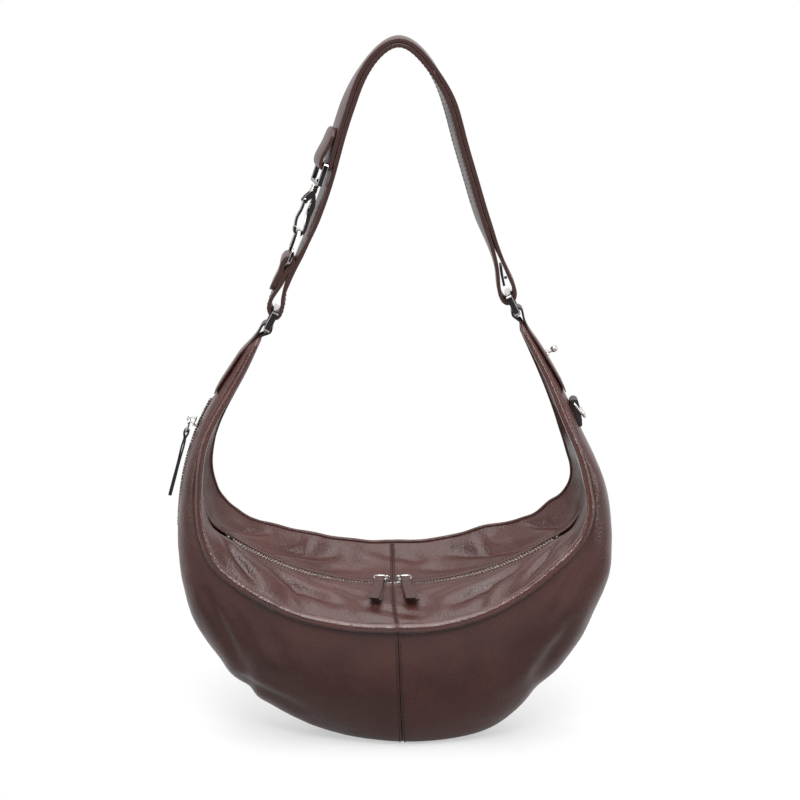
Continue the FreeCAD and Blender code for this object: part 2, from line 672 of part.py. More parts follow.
def side_zip_tape():
    return side_strip(SIDE_TAPE_STATION_SHARES, SIDE_TAPE_SHARES, SIDE_LIFT, SIDE_LIFT + TAPE)


def side_zip_chain():
    near = SIDE_LIFT + TAPE + SEAM_GAP
    return side_strip(SIDE_CHAIN_STATION_SHARES, SIDE_CHAIN_SHARES, near, near + CHAIN_HEIGHT)


def side_pocket():
    """Cloth pocket bag behind the side zip."""
    near = LEATHER + LINING_GAP
    low, high = SIDE_POCKET_STATION_SHARES
    columns = spaced(-low, -high, SMALL_COLUMNS)
    rows = spaced(*SIDE_POCKET_SHARES, GUSSET_ROWS)
    return skin(panel_point, BACK, columns, rows, near, near + LINING)


def on_side(shape):
    """Shape made with +Z out of the horn and +X up along it, set in place."""
    copy = shape.copy()
    copy.rotate(Vector(), Y_AXIS, -90)
    copy.translate(Vector(SIDE_CENTRE.x - SIDE_FACE, SIDE_REST.y, SIDE_CENTRE.z))
    return turned(copy, SIDE_TURN, SIDE_CENTRE)


def side_slider():
    """Pocket slider that straddles the chain laid on the horn."""
    channel = SEAM_GAP + CHAIN_HEIGHT + 2 * SLIDER_CLEARANCE
    foot = 2 * SLIDER_CLEARANCE
    long = SLIDER_LENGTH / 2
    wide = SLIDER_WIDTH / 2
    body = box(Vector(-long, -wide, foot), Vector(long, wide, channel + SLIDER_PLATE))
    slot = CHAIN_WIDTH / 2 + 2 * SLIDER_CLEARANCE
    body = body.cut(box(Vector(-long - OVERRUN, -slot, 0), Vector(long + OVERRUN, slot, channel)))
    bridge = crown(SIDE_EYE_HEIGHT - channel - SLIDER_PLATE)
    bridge.translate(Vector(0, 0, channel + SLIDER_PLATE))
    return body.fuse(bridge).removeSplitter()


SIDE_EYE = SIDE_CENTRE + turn(SIDE_TURN).multVec(Vector(-SIDE_FACE - SIDE_EYE_HEIGHT, 0, 0))
SIDE_EYE = Vector(SIDE_EYE.x, SIDE_REST.y, SIDE_EYE.z)
SIDE_DOWN = turn(SIDE_PULL_LEAN).multVec(Vector(0, 0, -1))
SIDE_BAR = SIDE_EYE + SIDE_DOWN * LINK_LENGTH


def side_link():
    """Link that hangs from the pocket slider."""
    hanging = link()
    hanging.rotate(Vector(), Y_AXIS, 90)
    return moved(hanging, SIDE_EYE, SIDE_PULL_LEAN)


def side_pull():
    """Long leather pull on the hanging link's lower bar."""
    inside = LINK_WIDTH - 2 * (LINK_WIRE + LINK_CLEARANCE)
    return moved(folded_pull(SIDE_PULL_LENGTH, inside), SIDE_BAR, SIDE_PULL_LEAN)


def strap_point(share):
    """Point of the strap; its arms keep their place over the horn tips."""
    right = share[0] > 0
    tip = RIGHT_OUTER[-1] if right else LEFT_OUTER[-1]
    shift = tip.x - TIP_SHARES[right] * STRAP_SPREAD
    follow = 1.0 - smooth_step(share[1], *ARM_SHARES)
    return Vector(share[0] * STRAP_SPREAD + shift * follow, 0, STRAP_FOOT + share[1] * STRAP_RISE)


ARCH = [strap_point(s) for s in ARCH_SHARES]
RIGHT_LOOP = [strap_point(s) for s in RIGHT_LOOP_SHARES]
LEFT_LOOP = [strap_point(s) for s in LEFT_LOOP_SHARES]
HOOK_LOOP = [strap_point(s) for s in HOOK_LOOP_SHARES]


def layer(points, shift):
    """Points of one layer of the doubled strap, outwards by shift."""
    shifted = []
    for i, point in enumerate(points):
        before = points[max(i - 1, 0)]
        after = points[min(i + 1, len(points) - 1)]
        along = (after - before).normalize()
        shifted.append(point + Vector(-along.z, 0, along.x) * shift)
    return shifted


def shoulder_strap():
    """One strap: hook loop, outer layer, right loop, inner layer, left loop."""
    outside = layer(ARCH, STRAP_PITCH / 2)[SKIPPED_POINT_COUNT:]
    inside = layer(ARCH, -STRAP_PITCH / 2)
    points = HOOK_LOOP + outside + RIGHT_LOOP + list(reversed(inside)) + LEFT_LOOP
    return ribbon(points, STRAP_LEATHER, STRAP_WIDTH)


def frame_ring(length):
    """Rectangular ring for the strap, hanging along -Z from its upper bar."""
    inner = Vector(RING_THICKNESS / 2, STRAP_WIDTH / 2 + RING_SIDE_CLEARANCE, -RING_BAR / 2)
    grow = Vector(0, RING_BAR, RING_BAR)
    low = Vector(-inner.x, -inner.y, -length - inner.z)
    outer = box(low - grow, inner + grow)
    side = Vector(OVERRUN, 0, 0)
    return outer.cut(box(low - side, inner + side))


RING_LEFT_TOP = strap_point(RING_TOP_LEFT_SHARE)
RING_RIGHT_TOP = strap_point(RING_TOP_RIGHT_SHARE)
RING_LEFT_FOOT = RING_LEFT_TOP + turn(RING_LEFT_TURN).multVec(Vector(0, 0, -RING_LENGTH))
RING_RIGHT_FOOT = RING_RIGHT_TOP + turn(RING_RIGHT_TURN).multVec(Vector(0, 0, -RING_LENGTH))


def horn_out(station):
    """Outward direction, square to a horn's outer edge in the XZ plane."""
    along = OUTER.tangent(station)[0]
    out = Vector(-along.z, 0, along.x)
    middle = CREST.value(station)
    if out.dot(OUTER.value(station) - middle) < 0:
        out = out * -1.0
    return out


def horn_tab(side, first, foot):
    """Leather strip up a horn's outer face, looped round the ring's foot bar."""
    lift = TAB_LIFT + TAB_LEATHER / 2
    points = []
    for station in spaced(first, LAST_STATION, TAB_POINTS):
        edge = pressed(OUTER.value(side * station))
        points.append(edge + horn_out(side * station) * lift)
    tip = pressed(OUTER.value(side * LAST_STATION))
    rise = (foot - tip).normalize()
    out = Vector(side * abs(rise.z), 0, side * -rise.x * math.copysign(1.0, rise.z))
    loop = TAB_LOOP + TAB_LEATHER / 2
    slack = TAB_LOOP - math.hypot(RING_BAR, RING_THICKNESS) / 2 - SEAM_GAP
    middle = foot - rise * slack
    for angle in TAB_LOOP_ANGLES:
        bend = math.radians(angle)
        points.append(middle + out * (loop * math.cos(bend)) + rise * (loop * math.sin(bend)))
    across, along = TAB_TAIL_SHARES
    points.append(middle + out * (loop * across) + rise * (loop * along))
    return ribbon(points, TAB_LEATHER, TAB_WIDTH)


def keeper_tab():
    """Short dark tab that keeps the strap's layers together in the loop."""
    return ribbon([strap_point(s) for s in KEEPER_SHARES], KEEPER_LEATHER, KEEPER_WIDTH)


def strap_stud():
    """Small ball stud on the keeper tab."""
    out = KEEPER_LEATHER / 2 + SEAM_GAP + KEEPER_STUD
    return Part.makeSphere(KEEPER_STUD, strap_point(KEEPER_STUD_SHARE) + Vector(out, 0, 0))


EYE_TOP = strap_point(EYE_TOP_SHARE)
EYE_FOOT = EYE_TOP + turn(EYE_TURN).multVec(Vector(0, 0, -EYE_LENGTH))


def hook_eye():
    """Square eye in the strap's end, bored for the swivel shaft."""
    ring = moved(frame_ring(EYE_LENGTH), EYE_TOP, EYE_TURN)
    reach = RING_BAR + OVERRUN
    bore = Part.makeCylinder(HOOK_SHAFT + HOOK_CLEARANCE, 2 * reach, Vector(0, 0, -reach))
    return ring.cut(moved(bore, EYE_FOOT, HOOK_TURN))


# The hook is made hanging along -Z from the eye's lower bar, open side at -X.
GATE_PIVOT = Vector(-HOOK_BOW, 0, -HOOK_LENGTH + GATE_LENGTH + HOOK_BOW + HOOK_BAR)
GATE_TIP = GATE_PIVOT - Vector(0, 0, GATE_LENGTH)
BOW_CENTRE = Vector(0, 0, -HOOK_LENGTH + HOOK_BOW + HOOK_BAR / 2)


def hook_body():
    """Swivel shaft, barrel, spine and bow of the snap hook, with two cheeks."""
    gap = RING_BAR / 2 + RING_BAR * SHAFT_SLACK_SHARE + HOOK_CLEARANCE
    shaft = Part.makeCylinder(HOOK_SHAFT, 2 * gap, Vector(0, 0, -gap))
    head = Part.makeCylinder(HOOK_SHAFT_HEAD, RING_BAR / 2, Vector(0, 0, gap))
    barrel_foot = -gap - HOOK_BARREL_LENGTH
    barrel = Part.makeCylinder(HOOK_BARREL, HOOK_BARREL_LENGTH, Vector(0, 0, barrel_foot))
    bow = HOOK_BOW
    corner = bow * BOW_CORNER_SHARE
    path = [Vector(0, 0, barrel_foot + HOOK_BAR / 2)]
    path += [Vector(bow * x, 0, barrel_foot + bow * z) for x, z in HOOK_NECK_SHARES]
    path += [BOW_CENTRE + Vector(x, 0, z) for x, z in
             ((bow, 0), (corner, -corner), (0, -bow), (-corner, -corner))]
    path.append(Vector(-bow, 0, GATE_TIP.z + OVERRUN))
    spine = ribbon(path, HOOK_BAR, HOOK_DEPTH)
    nose = GATE_TIP - Vector(HOOK_BAR, HOOK_DEPTH, HOOK_CLEARANCE)
    spine = spine.cut(box(nose, nose + Vector(2 * HOOK_BAR, 2 * HOOK_DEPTH, HOOK_BAR)))
    cheek_gap = HOOK_DEPTH / 2 + HOOK_CLEARANCE
    cheeks = []
    for side in (-1, 1):
        near, far = sorted((side * cheek_gap, side * (cheek_gap + GATE_CHEEK)))
        rib = box(Vector(GATE_PIVOT.x - HOOK_BAR / 2, near, GATE_PIVOT.z - HOOK_BAR / 2),
                  Vector(0, far, barrel_foot + HOOK_BARREL))
        cheeks.append(rib)
    web = box(Vector(-HOOK_BAR / 2, -cheek_gap - GATE_CHEEK, barrel_foot - HOOK_BAR),
              Vector(HOOK_BAR / 2, cheek_gap + GATE_CHEEK, barrel_foot + HOOK_BARREL))
    body = spine.fuse([shaft, head, barrel, web] + cheeks)
    reach = cheek_gap + GATE_CHEEK + OVERRUN
    bore = Part.makeCylinder(GATE_PIN + GATE_PIN_CLEARANCE, 2 * reach,
                             GATE_PIVOT - Y_AXIS * reach, Y_AXIS)
    return body.cut(bore).removeSplitter()


def hook_gate():
    """Sprung gate lever with a thumb bulge, closing the bow."""
    out = Vector(-GATE_BAR * GATE_BULGE_SHARE, 0, 0)
    upper, lower = [GATE_PIVOT - Vector(0, 0, GATE_LENGTH * s) for s in GATE_BEND_SHARES]
    points = [GATE_PIVOT + Vector(0, 0, GATE_BAR / 2), upper, lower + out, GATE_TIP]
    lever = ribbon(points, GATE_BAR, HOOK_DEPTH - 2 * HOOK_CLEARANCE)
    bore = Part.makeCylinder(GATE_PIN + GATE_PIN_CLEARANCE, HOOK_DEPTH + OVERRUN,
                             GATE_PIVOT - Y_AXIS * ((HOOK_DEPTH + OVERRUN) / 2), Y_AXIS)
    return lever.cut(bore)


def gate_pin():
    """Pivot of the gate, with a round head outside each cheek."""
    face = HOOK_DEPTH / 2 + HOOK_CLEARANCE + GATE_CHEEK
    pin = Part.makeCylinder(GATE_PIN, 2 * face, GATE_PIVOT - Y_AXIS * face, Y_AXIS)
    heads = [Part.makeCylinder(GATE_KNOB, GATE_CHEEK, GATE_PIVOT + Y_AXIS * (side * face), Y_AXIS * side)
             for side in (-1, 1)]
    return pin.fuse(heads).removeSplitter()


def on_hook(shape):
    return moved(shape, EYE_FOOT, HOOK_TURN)


def tip_ring():
    """Ring with a narrow top in the hook's bow and a wide foot in the strap."""
    hold = HOOK_BOW - HOOK_BAR / 2 - TIP_RING_WIRE - HOOK_CLEARANCE
    top = EYE_FOOT + turn(HOOK_TURN).multVec(BOW_CENTRE - Vector(0, 0, hold))
    foot = strap_point(TIP_RING_FOOT_SHARE)
    wide = Y_AXIS * (STRAP_WIDTH / 2 + RING_SIDE_CLEARANCE + TIP_RING_WIRE)
    narrow = Y_AXIS * (TIP_RING_TOP / 2)
    knee = foot + (top - foot) * KNEE_SHARE
    corners = [top - narrow, top + narrow, knee + wide, foot + wide, foot - wide, knee - wide]
    return wire_loop(corners, TIP_RING_WIRE)


def on_horn(shape, station, lift):
    """Shape made with +Z out and +X along the horn, set on a horn's edge."""
    out = horn_out(station)
    along = Y_AXIS.cross(out)
    copy = shape.copy()
    copy.Placement = FreeCAD.Placement(pressed(OUTER.value(station)) + out * lift,
                                       FreeCAD.Rotation(along, Y_AXIS, out, "ZXY"))
    return copy


def horn_stud():
    """Ball stud on the right horn's tab."""
    foot = Part.makeCylinder(STUD_FOOT, STUD_FOOT_HEIGHT)
    stem = Part.makeCylinder(STUD_STEM, STUD_STEM_LENGTH)
    ball = Part.makeSphere(STUD_BALL, Vector(0, 0, STUD_STEM_LENGTH + STUD_BALL / 2))
    stud = foot.fuse([stem, ball]).removeSplitter()
    return on_horn(stud, STUD_STATION_SHARE, TAB_LIFT + TAB_LEATHER + SEAM_GAP)


RING_SEAT = ANCHOR_LENGTH / 2 - ANCHOR_HEEL / 2
RING_SEAT_HEIGHT = ANCHOR_HEEL / 2


def anchor_tab():
    """Wedge of stacked leather on the right horn, bored for the D-ring."""
    half = ANCHOR_LENGTH / 2
    toe = Vector(half, 0, 0)
    heel = Vector(-RING_SEAT, 0, ANCHOR_HEEL)
    crown_point = Vector(-half, 0, ANCHOR_HEEL / 2)
    edges = [Part.LineSegment(Vector(-RING_SEAT, 0, 0), toe).toShape(),
             Part.LineSegment(toe, toe + Vector(0, 0, ANCHOR_TOE)).toShape(),
             Part.LineSegment(toe + Vector(0, 0, ANCHOR_TOE), heel).toShape(),
             Part.Arc(heel, crown_point, Vector(-RING_SEAT, 0, 0)).toShape()]
    wedge = Part.Face(Part.Wire(edges)).extrude(Y_AXIS * ANCHOR_WIDTH)
    wedge.translate(Y_AXIS * (-ANCHOR_WIDTH / 2))
    hole = Part.makeCylinder(ANCHOR_HOLE, ANCHOR_WIDTH + 2 * OVERRUN,
                             Vector(-RING_SEAT, -ANCHOR_WIDTH / 2 - OVERRUN, RING_SEAT_HEIGHT), Y_AXIS)
    return on_horn(wedge.cut(hole), ANCHOR_STATION_SHARE, ANCHOR_LIFT)


def anchor_ring():
    """D-ring hanging from the anchor tab."""
    half = ANCHOR_WIDTH / 2 + D_RING_SIDE
    bar = Vector(-RING_SEAT, 0, RING_SEAT_HEIGHT)
    knee_share, knee_rise = D_RING_KNEE_SHARES
    toe_share, toe_rise = D_RING_TOE_SHARES
    knee = bar + Vector(D_RING_LENGTH * knee_share, 0, D_RING_WIRE * knee_rise)
    toe = bar + Vector(D_RING_LENGTH, 0, D_RING_WIRE * toe_rise)
    wide = Y_AXIS * half
    narrow = wide * toe_share
    corners = [bar - wide, bar + wide, knee + wide, toe + narrow, toe - narrow, knee - wide]
    return on_horn(wire_loop(corners, D_RING_WIRE), ANCHOR_STATION_SHARE, ANCHOR_LIFT)


def nodes():
    """Every piece of the bag, by name."""
    made = {}
    for name, side in (("left", -1), ("right", 1)):
        made["front_panel_" + name] = panel(FRONT, side)
        made["back_panel_" + name] = panel(BACK, side)
        made["front_gusset_" + name] = gusset(FRONT, side)
        made["back_gusset_" + name] = gusset(BACK, side)
        made["front_welt_" + name] = welt(FRONT, side)
        made["back_welt_" + name] = welt(BACK, side)
        made["zip_chain_" + name] = zip_chain(side)
        made["slider_" + name] = on_zip(slider(), side)
        made["pull_link_" + name] = on_zip(raised(link()), side, PULL_SPLAY)
        made["pull_tab_" + name] = on_zip(raised(main_pull()), side, PULL_SPLAY)
    made["lining_front"] = lining(FRONT)
    made["lining_back"] = lining(BACK)
    made["inner_pocket"] = inner_pocket()
    made["zip_tape_front"] = zip_tape(-1)
    made["zip_tape_back"] = zip_tape(1)
    made["zip_end_stops"] = zip_stops()
    made["side_zip_tape"] = side_zip_tape()
    made["side_zip_chain"] = side_zip_chain()
    made["side_pocket"] = side_pocket()
    made["side_slider"] = on_side(side_slider())
    made["side_link"] = side_link()
    made["side_pull"] = side_pull()
    made["horn_tab_left"] = horn_tab(-1, TAB_LEFT_STATION_SHARE, RING_LEFT_FOOT)
    made["horn_tab_right"] = horn_tab(1, TAB_RIGHT_STATION_SHARE, RING_RIGHT_FOOT)
    made["horn_stud"] = horn_stud()
    made["anchor_tab"] = anchor_tab()
    made["anchor_ring"] = anchor_ring()
    made["ring_left"] = moved(frame_ring(RING_LENGTH), RING_LEFT_TOP, RING_LEFT_TURN)
    made["ring_right"] = moved(frame_ring(RING_LENGTH), RING_RIGHT_TOP, RING_RIGHT_TURN)
    made["shoulder_strap"] = shoulder_strap()
    made["keeper_tab"] = keeper_tab()
    made["strap_stud"] = strap_stud()
    made["hook_eye"] = hook_eye()
    made["hook_body"] = on_hook(hook_body())
    made["hook_gate"] = on_hook(hook_gate())
    made["hook_gate_pin"] = on_hook(gate_pin())
    made["tip_ring"] = tip_ring()
    return made


os.makedirs("parts", exist_ok=True)
for node, shape in nodes().items():
    shape.exportStep("parts/" + node + ".step")
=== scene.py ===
"""Half moon shoulder bag: leather body, zips, strap and hardware, dressed over the CAD frame."""
import math

import bmesh
import bpy
import numpy as np
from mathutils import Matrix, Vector, noise


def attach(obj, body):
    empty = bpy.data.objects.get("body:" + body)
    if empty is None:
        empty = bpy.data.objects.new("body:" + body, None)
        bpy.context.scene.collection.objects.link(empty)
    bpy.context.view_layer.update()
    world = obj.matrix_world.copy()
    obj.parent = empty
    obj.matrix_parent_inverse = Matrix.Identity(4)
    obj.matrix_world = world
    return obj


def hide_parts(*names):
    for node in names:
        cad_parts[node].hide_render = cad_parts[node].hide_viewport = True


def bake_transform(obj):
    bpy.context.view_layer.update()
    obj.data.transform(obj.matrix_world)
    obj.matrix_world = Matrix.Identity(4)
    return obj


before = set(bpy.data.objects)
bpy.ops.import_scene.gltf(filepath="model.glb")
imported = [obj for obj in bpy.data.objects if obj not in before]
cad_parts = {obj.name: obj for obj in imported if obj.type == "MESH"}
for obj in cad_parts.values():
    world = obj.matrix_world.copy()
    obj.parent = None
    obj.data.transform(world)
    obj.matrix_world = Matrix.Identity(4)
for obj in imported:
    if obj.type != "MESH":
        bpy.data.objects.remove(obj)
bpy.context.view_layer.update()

bl_info = {
    "name": "Half moon bag",
    "version": (1, 0, 0),
    "blender": (4, 5, 0),
    "location": "View3D > Sidebar > Bag",
    "description": "Builds a soft leather half moon bag piece by piece over its CAD frame",
    "category": "Add Mesh",
}

# Lengths in the tables and operators are in millimetres; meshes are scaled to metres when made.
MM = 0.001
WELD_DISTANCE = 0.01 * MM
FACES = (("front", True), ("back", False))
SIDES = (("left", -1), ("right", 1))
LAST_STATION = 11
STATION_STEP = 52.0          # one station at the centre, measured along the ridge
ZIP_END_STATION = 5.0
SLOT_CLOSED_STATION = 5.8
BASE_SOFTNESS = 5.0          # how gently the sides run into the flat base
BASE_FLAT = 0.5              # depth to which the base is pressed flat

# Guide lines of the body from its centre to a horn tip: shares of half width, depth and horn height.
LEFT_OUTER = [
    (-0.254, -0.008), (-0.478, 0.040), (-0.678, 0.108), (-0.839, 0.203), (-0.951, 0.300), (-1.005, 0.412),
    (-1.020, 0.526), (-0.992, 0.664), (-0.911, 0.796), (-0.804, 0.898), (-0.688, 0.990)]
RIGHT_OUTER = [
    (0.254, -0.022), (0.478, 0.034), (0.654, 0.132), (0.800, 0.222), (0.898, 0.316), (0.961, 0.412),
    (0.971, 0.528), (0.937, 0.649), (0.839, 0.768), (0.727, 0.894), (0.580, 1.023)]
CENTRE_OUTER = (0.014, -0.042)
LEFT_FRONT = [
    (-0.234, -0.985, 0.340), (-0.468, -0.940, 0.366), (-0.659, -0.864, 0.412), (-0.805, -0.758, 0.464),
    (-0.878, -0.652, 0.523), (-0.907, -0.561, 0.593), (-0.907, -0.485, 0.665), (-0.883, -0.409, 0.755),
    (-0.815, -0.333, 0.835), (-0.722, -0.273, 0.918), (-0.644, -0.212, 0.997)]
RIGHT_FRONT = [
    (0.224, -0.985, 0.345), (0.439, -0.940, 0.384), (0.610, -0.864, 0.438), (0.741, -0.758, 0.495),
    (0.824, -0.652, 0.544), (0.859, -0.561, 0.603), (0.849, -0.485, 0.660), (0.810, -0.409, 0.737),
    (0.741, -0.333, 0.820), (0.668, -0.273, 0.912), (0.556, -0.197, 1.026)]
CENTRE_FRONT = (-0.010, -1.0, 0.335)
LEFT_BACK = [
    (-0.254, 0.983, 0.454), (-0.473, 0.950, 0.477), (-0.659, 0.867, 0.505), (-0.771, 0.767, 0.544),
    (-0.839, 0.667, 0.588), (-0.868, 0.567, 0.637), (-0.873, 0.500, 0.691), (-0.844, 0.433, 0.763),
    (-0.780, 0.367, 0.838), (-0.702, 0.300, 0.915), (-0.634, 0.233, 0.992)]
RIGHT_BACK = [
    (0.195, 0.983, 0.456), (0.400, 0.950, 0.487), (0.571, 0.867, 0.513), (0.683, 0.767, 0.552),
    (0.761, 0.667, 0.593), (0.795, 0.567, 0.637), (0.785, 0.500, 0.686), (0.751, 0.433, 0.742),
    (0.707, 0.367, 0.814), (0.639, 0.300, 0.907), (0.546, 0.217, 1.018)]
CENTRE_BACK = (-0.039, 1.0, 0.448)

# The main zip in degrees of its arc; angles of its stations are shares of the end angle.
ZIP_ANGLES = [0.0, 0.240, 0.500, 0.718, 0.887, 1.0]
ZIP_END_ANGLE = 38.0
ZIP_STOP_ANGLE = 34.43
ZIP_REST_ANGLE = 1.104

# Strap route, x and z: loop round the hook's eye, outer layer, right ring, inner layer, left ring.
ARCH = [
    (-95.2, 466.0), (-79.4, 502.8), (-66.5, 539.2), (-56.5, 575.2), (-44.6, 611.0), (-30.5, 638.6),
    (-1.5, 661.6), (31.1, 634.0), (42.9, 611.0), (53.3, 575.2), (63.9, 539.2), (75.0, 502.8)]
HOOK_LOOP = [
    (-60.6, 585.0), (-67.0, 569.5), (-72.0, 560.5), (-74.1, 554.0), (-73.7, 550.5), (-70.9, 548.4),
    (-67.4, 548.8), (-65.3, 551.6), (-62.7, 561.0)]
RIGHT_LOOP = [
    (86.9, 477.8), (96.0, 458.0), (102.5, 444.0), (105.0, 435.0), (103.0, 428.0), (97.5, 425.6),
    (93.0, 430.0), (90.5, 438.0), (89.0, 452.0), (82.6, 476.0)]
LEFT_LOOP = [
    (-101.2, 447.6), (-107.0, 429.0), (-108.6, 418.0), (-113.5, 411.6), (-118.8, 416.4), (-119.5, 424.4),
    (-113.8, 435.6), (-107.4, 446.6), (-101.9, 456.6), (-98.4, 463.0), (-101.8, 467.8), (-106.2, 463.8),
    (-108.1, 457.0), (-112.8, 446.6), (-118.2, 436.4)]
STRAP_PITCH = 4.4
KEEPER = [(92.0, 459.0), (93.3, 450.0), (95.2, 441.0)]
RING_FEET = {"left": (-122.11, 0, 401.03), "right": (107.23, 0, 416.09)}
HOOK_FOOT = np.array((-75.886, 0, 534.835))
HOOK_TURN = 20.5

# Slack of the hide. Outline: station, half width in stations and bulge. Panel folds: x and z at both
# ends, half width and depth. Gusset folds: the same with the distance from the zip in place of z.
OUTLINE = [
    (-3.60, 0.28, 2.2), (-3.18, 0.16, -2.6), (-2.85, 0.20, 1.0), (-6.6, 0.7, 0.8), (2.9, 0.22, -1.4),
    (3.4, 0.3, 1.0), (6.3, 0.5, 1.0), (5.2, 0.4, -0.8)]
PANEL_FOLDS = [
    (-146, 192, -112, 100, 12, 3.0), (-180, 156, -150, 84, 9, 2.2), (-150, 66, -96, 40, 9, 2.0),
    (162, 126, 124, 66, 10, 2.0), (172, 196, 142, 140, 9, 2.2), (62, 116, 76, 56, 16, 1.2),
    (-52, 112, -66, 48, 16, 1.1), (-186, 250, -176, 190, 6, 1.4), (178, 262, 172, 200, 6, 1.4)]
GUSSET_FOLDS = [
    (-152, 8, -60, 44, 9, 2.6), (-122, 7, -36, 27, 8, 1.6), (-166, 16, -132, 46, 6, 2.0),
    (140, 8, 50, 45, 9, 2.6), (112, 7, 30, 25, 8, 1.6), (154, 16, 118, 44, 6, 2.0),
    (-34, 40, 22, 54, 7, 1.1), (-98, 30, -84, 58, 6, 1.2), (84, 32, 72, 58, 6, 1.2)]

# Lamps: name, place, aim, width and height in metres, watts, and whether reflections show the lamp.
LAMPS = (
    ("top_softbox", (-0.1, -0.2, 2.0), (-0.1, -0.2, 0.0), 1.5, 1.8, 36.0, True),
    ("front_softbox", (0.6, -2.4, 1.5), (0, 0, 0.25), 1.6, 1.6, 10.0, False),
    ("key_strip", (0.0, -1.45, 1.75), (0, 0, 0.2), 1.5, 0.26, 26.0, True),
    ("back_strip", (0.0, 1.0, 1.35), (0, -0.05, 0.2), 1.8, 0.16, 6.0, False),
    ("left_strip", (-1.4, -0.7, 0.75), (0, 0, 0.28), 0.22, 1.1, 6.0, True),
    ("right_strip", (1.4, -0.6, 0.80), (0, 0, 0.28), 0.22, 1.1, 10.0, True))
CAMERA_PLACE = (0.0, -1.9826, 0.8364)
CAMERA_DROP = 14.3           # degrees below level
CAMERA_LENS, CAMERA_SENSOR = 99.0, 36.0
FLOOR_REACH = 6.0
FLOOR_DROP = 0.0002


def linear(hex_code):
    """sRGB hex value to a linear colour."""
    parts = [int(hex_code[i:i + 2], 16) / 255.0 for i in (0, 2, 4)]
    return tuple(c / 12.92 if c <= 0.04045 else ((c + 0.055) / 1.055) ** 2.4 for c in parts)


def length(name, description, default):
    return bpy.props.FloatProperty(name=name, description=description, default=default, unit="LENGTH")


def colour(name, description, hex_code):
    return bpy.props.FloatVectorProperty(name=name, description=description, subtype="COLOR",
                                         default=linear(hex_code))


class BagSizes(bpy.types.PropertyGroup):
    """Sizes of the bag that the pieces are drawn from."""

    half_width: length("Half width", "Centre seam to the widest part of a side", 0.205)
    horn_height: length("Horn height", "Floor to the tip of a horn", 0.388)
    front_depth: length("Front depth", "Main zip to the front ridge", 0.066)
    back_depth: length("Back depth", "Main zip to the back ridge", 0.060)
    zip_radius: length("Zip radius", "Arc that the main zip lies on", 0.275)
    zip_height: length("Zip height", "Floor to the lowest point of the zip", 0.152)
    zip_shift: length("Zip shift", "Lowest point of the zip from the centre", -0.007)
    zip_slot: length("Zip slot", "Between the leather edges along the zip", 0.011)
    tooth_pitch: length("Tooth pitch", "One tooth of a row to the next", 0.003)
    roll_radius: length("Roll radius", "Rolled edge at the middle of a ridge", 0.0054)
    roll_tip_radius: length("Roll tip radius", "Rolled edge at a horn tip", 0.0023)
    stitch_pitch: length("Stitch pitch", "One stitch to the next", 0.0036)
    strap_width: length("Strap width", "Width of the shoulder strap", 0.030)
    strap_leather: length("Strap leather", "Thickness of one strap layer", 0.0034)
    strap_lean: bpy.props.FloatProperty(
        name="Strap lean", description="How far the strap's far edge turns left, of its width", default=0.20)


class BagColours(bpy.types.PropertyGroup):
    """Colours of the bag's materials."""

    leather: colour("Leather", "Body leather", "51302b")
    leather_deep: colour("Leather, deep", "Hollows of the body leather", "412521")
    # Rolled edges: drawn redder than the body leather, a painted stand-in for the weaker grey reflection on
    # the rounded rolls.
    roll: colour("Rolled edges", "Leather of the rolled edges, rubbed redder", "56291f")
    strap: colour("Strap", "Strap leather", "3f2321")
    edge_paint: colour("Edge paint", "Painted edges of the strap", "321914")
    black_edge: colour("Black edge", "Painted edges of tabs and pulls", "120d0d")
    thread: colour("Thread", "Sewing thread", "160a09")
    tape: colour("Zip tape", "Woven zip tape", "22130f")
    lining: colour("Lining", "Lining cloth", "2a2422")
    # Painted dark reflection: the flat faces of the rings and snap hook take this dark colour in place of the
    # dark room they reflect.
    dark_nickel: colour("Dark nickel", "Rings and snap hook", "3a3838")
    nickel: colour("Nickel", "Sliders, links, studs and D-ring", "d2cecb")
    teeth: colour("Zip teeth", "Plated zip teeth", "9c8e85")


def mm(name):
    """A size in millimetres."""
    return getattr(bpy.context.scene.bag_sizes, name) / MM


def tint(name):
    return tuple(getattr(bpy.context.scene.bag_colours, name))


def spline(points, knots):
    """Natural cubic spline through points, as a function of the knot value."""
    pts = np.array(points, float)
    at = np.array(knots, float)
    gaps = np.diff(at)
    count = len(pts)
    matrix = np.eye(count)
    right = np.zeros_like(pts)
    for i in range(1, count - 1):
        matrix[i, i - 1:i + 2] = gaps[i - 1], 2 * (gaps[i - 1] + gaps[i]), gaps[i]
        right[i] = 6 * ((pts[i + 1] - pts[i]) / gaps[i] - (pts[i] - pts[i - 1]) / gaps[i - 1])
    bend = np.linalg.solve(matrix, right)

    def value(t):
        i = min(max(int(np.searchsorted(at, t)) - 1, 0), count - 2)
        h, a, b = gaps[i], at[i + 1] - t, t - at[i]
        return ((bend[i] * a ** 3 + bend[i + 1] * b ** 3) / (6 * h)
                + (pts[i] / h - bend[i] * h / 6) * a + (pts[i + 1] / h - bend[i + 1] * h / 6) * b)
    return value


def unit(v):
    return v / max(np.linalg.norm(v), 1e-12)


def smooth_step(value, start, end):
    t = min(max((value - start) / (end - start), 0.0), 1.0)
    return t * t * (3 - 2 * t)


def walked(points):
    """Distance along a line at each of its points."""
    return np.concatenate([[0], np.cumsum(np.linalg.norm(np.diff(points, axis=0), axis=1))])


def smooth_path(points, spacing):
    """Even points on a smooth line through the given points."""
    pts = np.array(points, float)
    knots = walked(pts)
    line = spline(pts, knots)
    return [line(t) for t in np.linspace(0, knots[-1], max(int(knots[-1] / spacing), 2) + 1)]


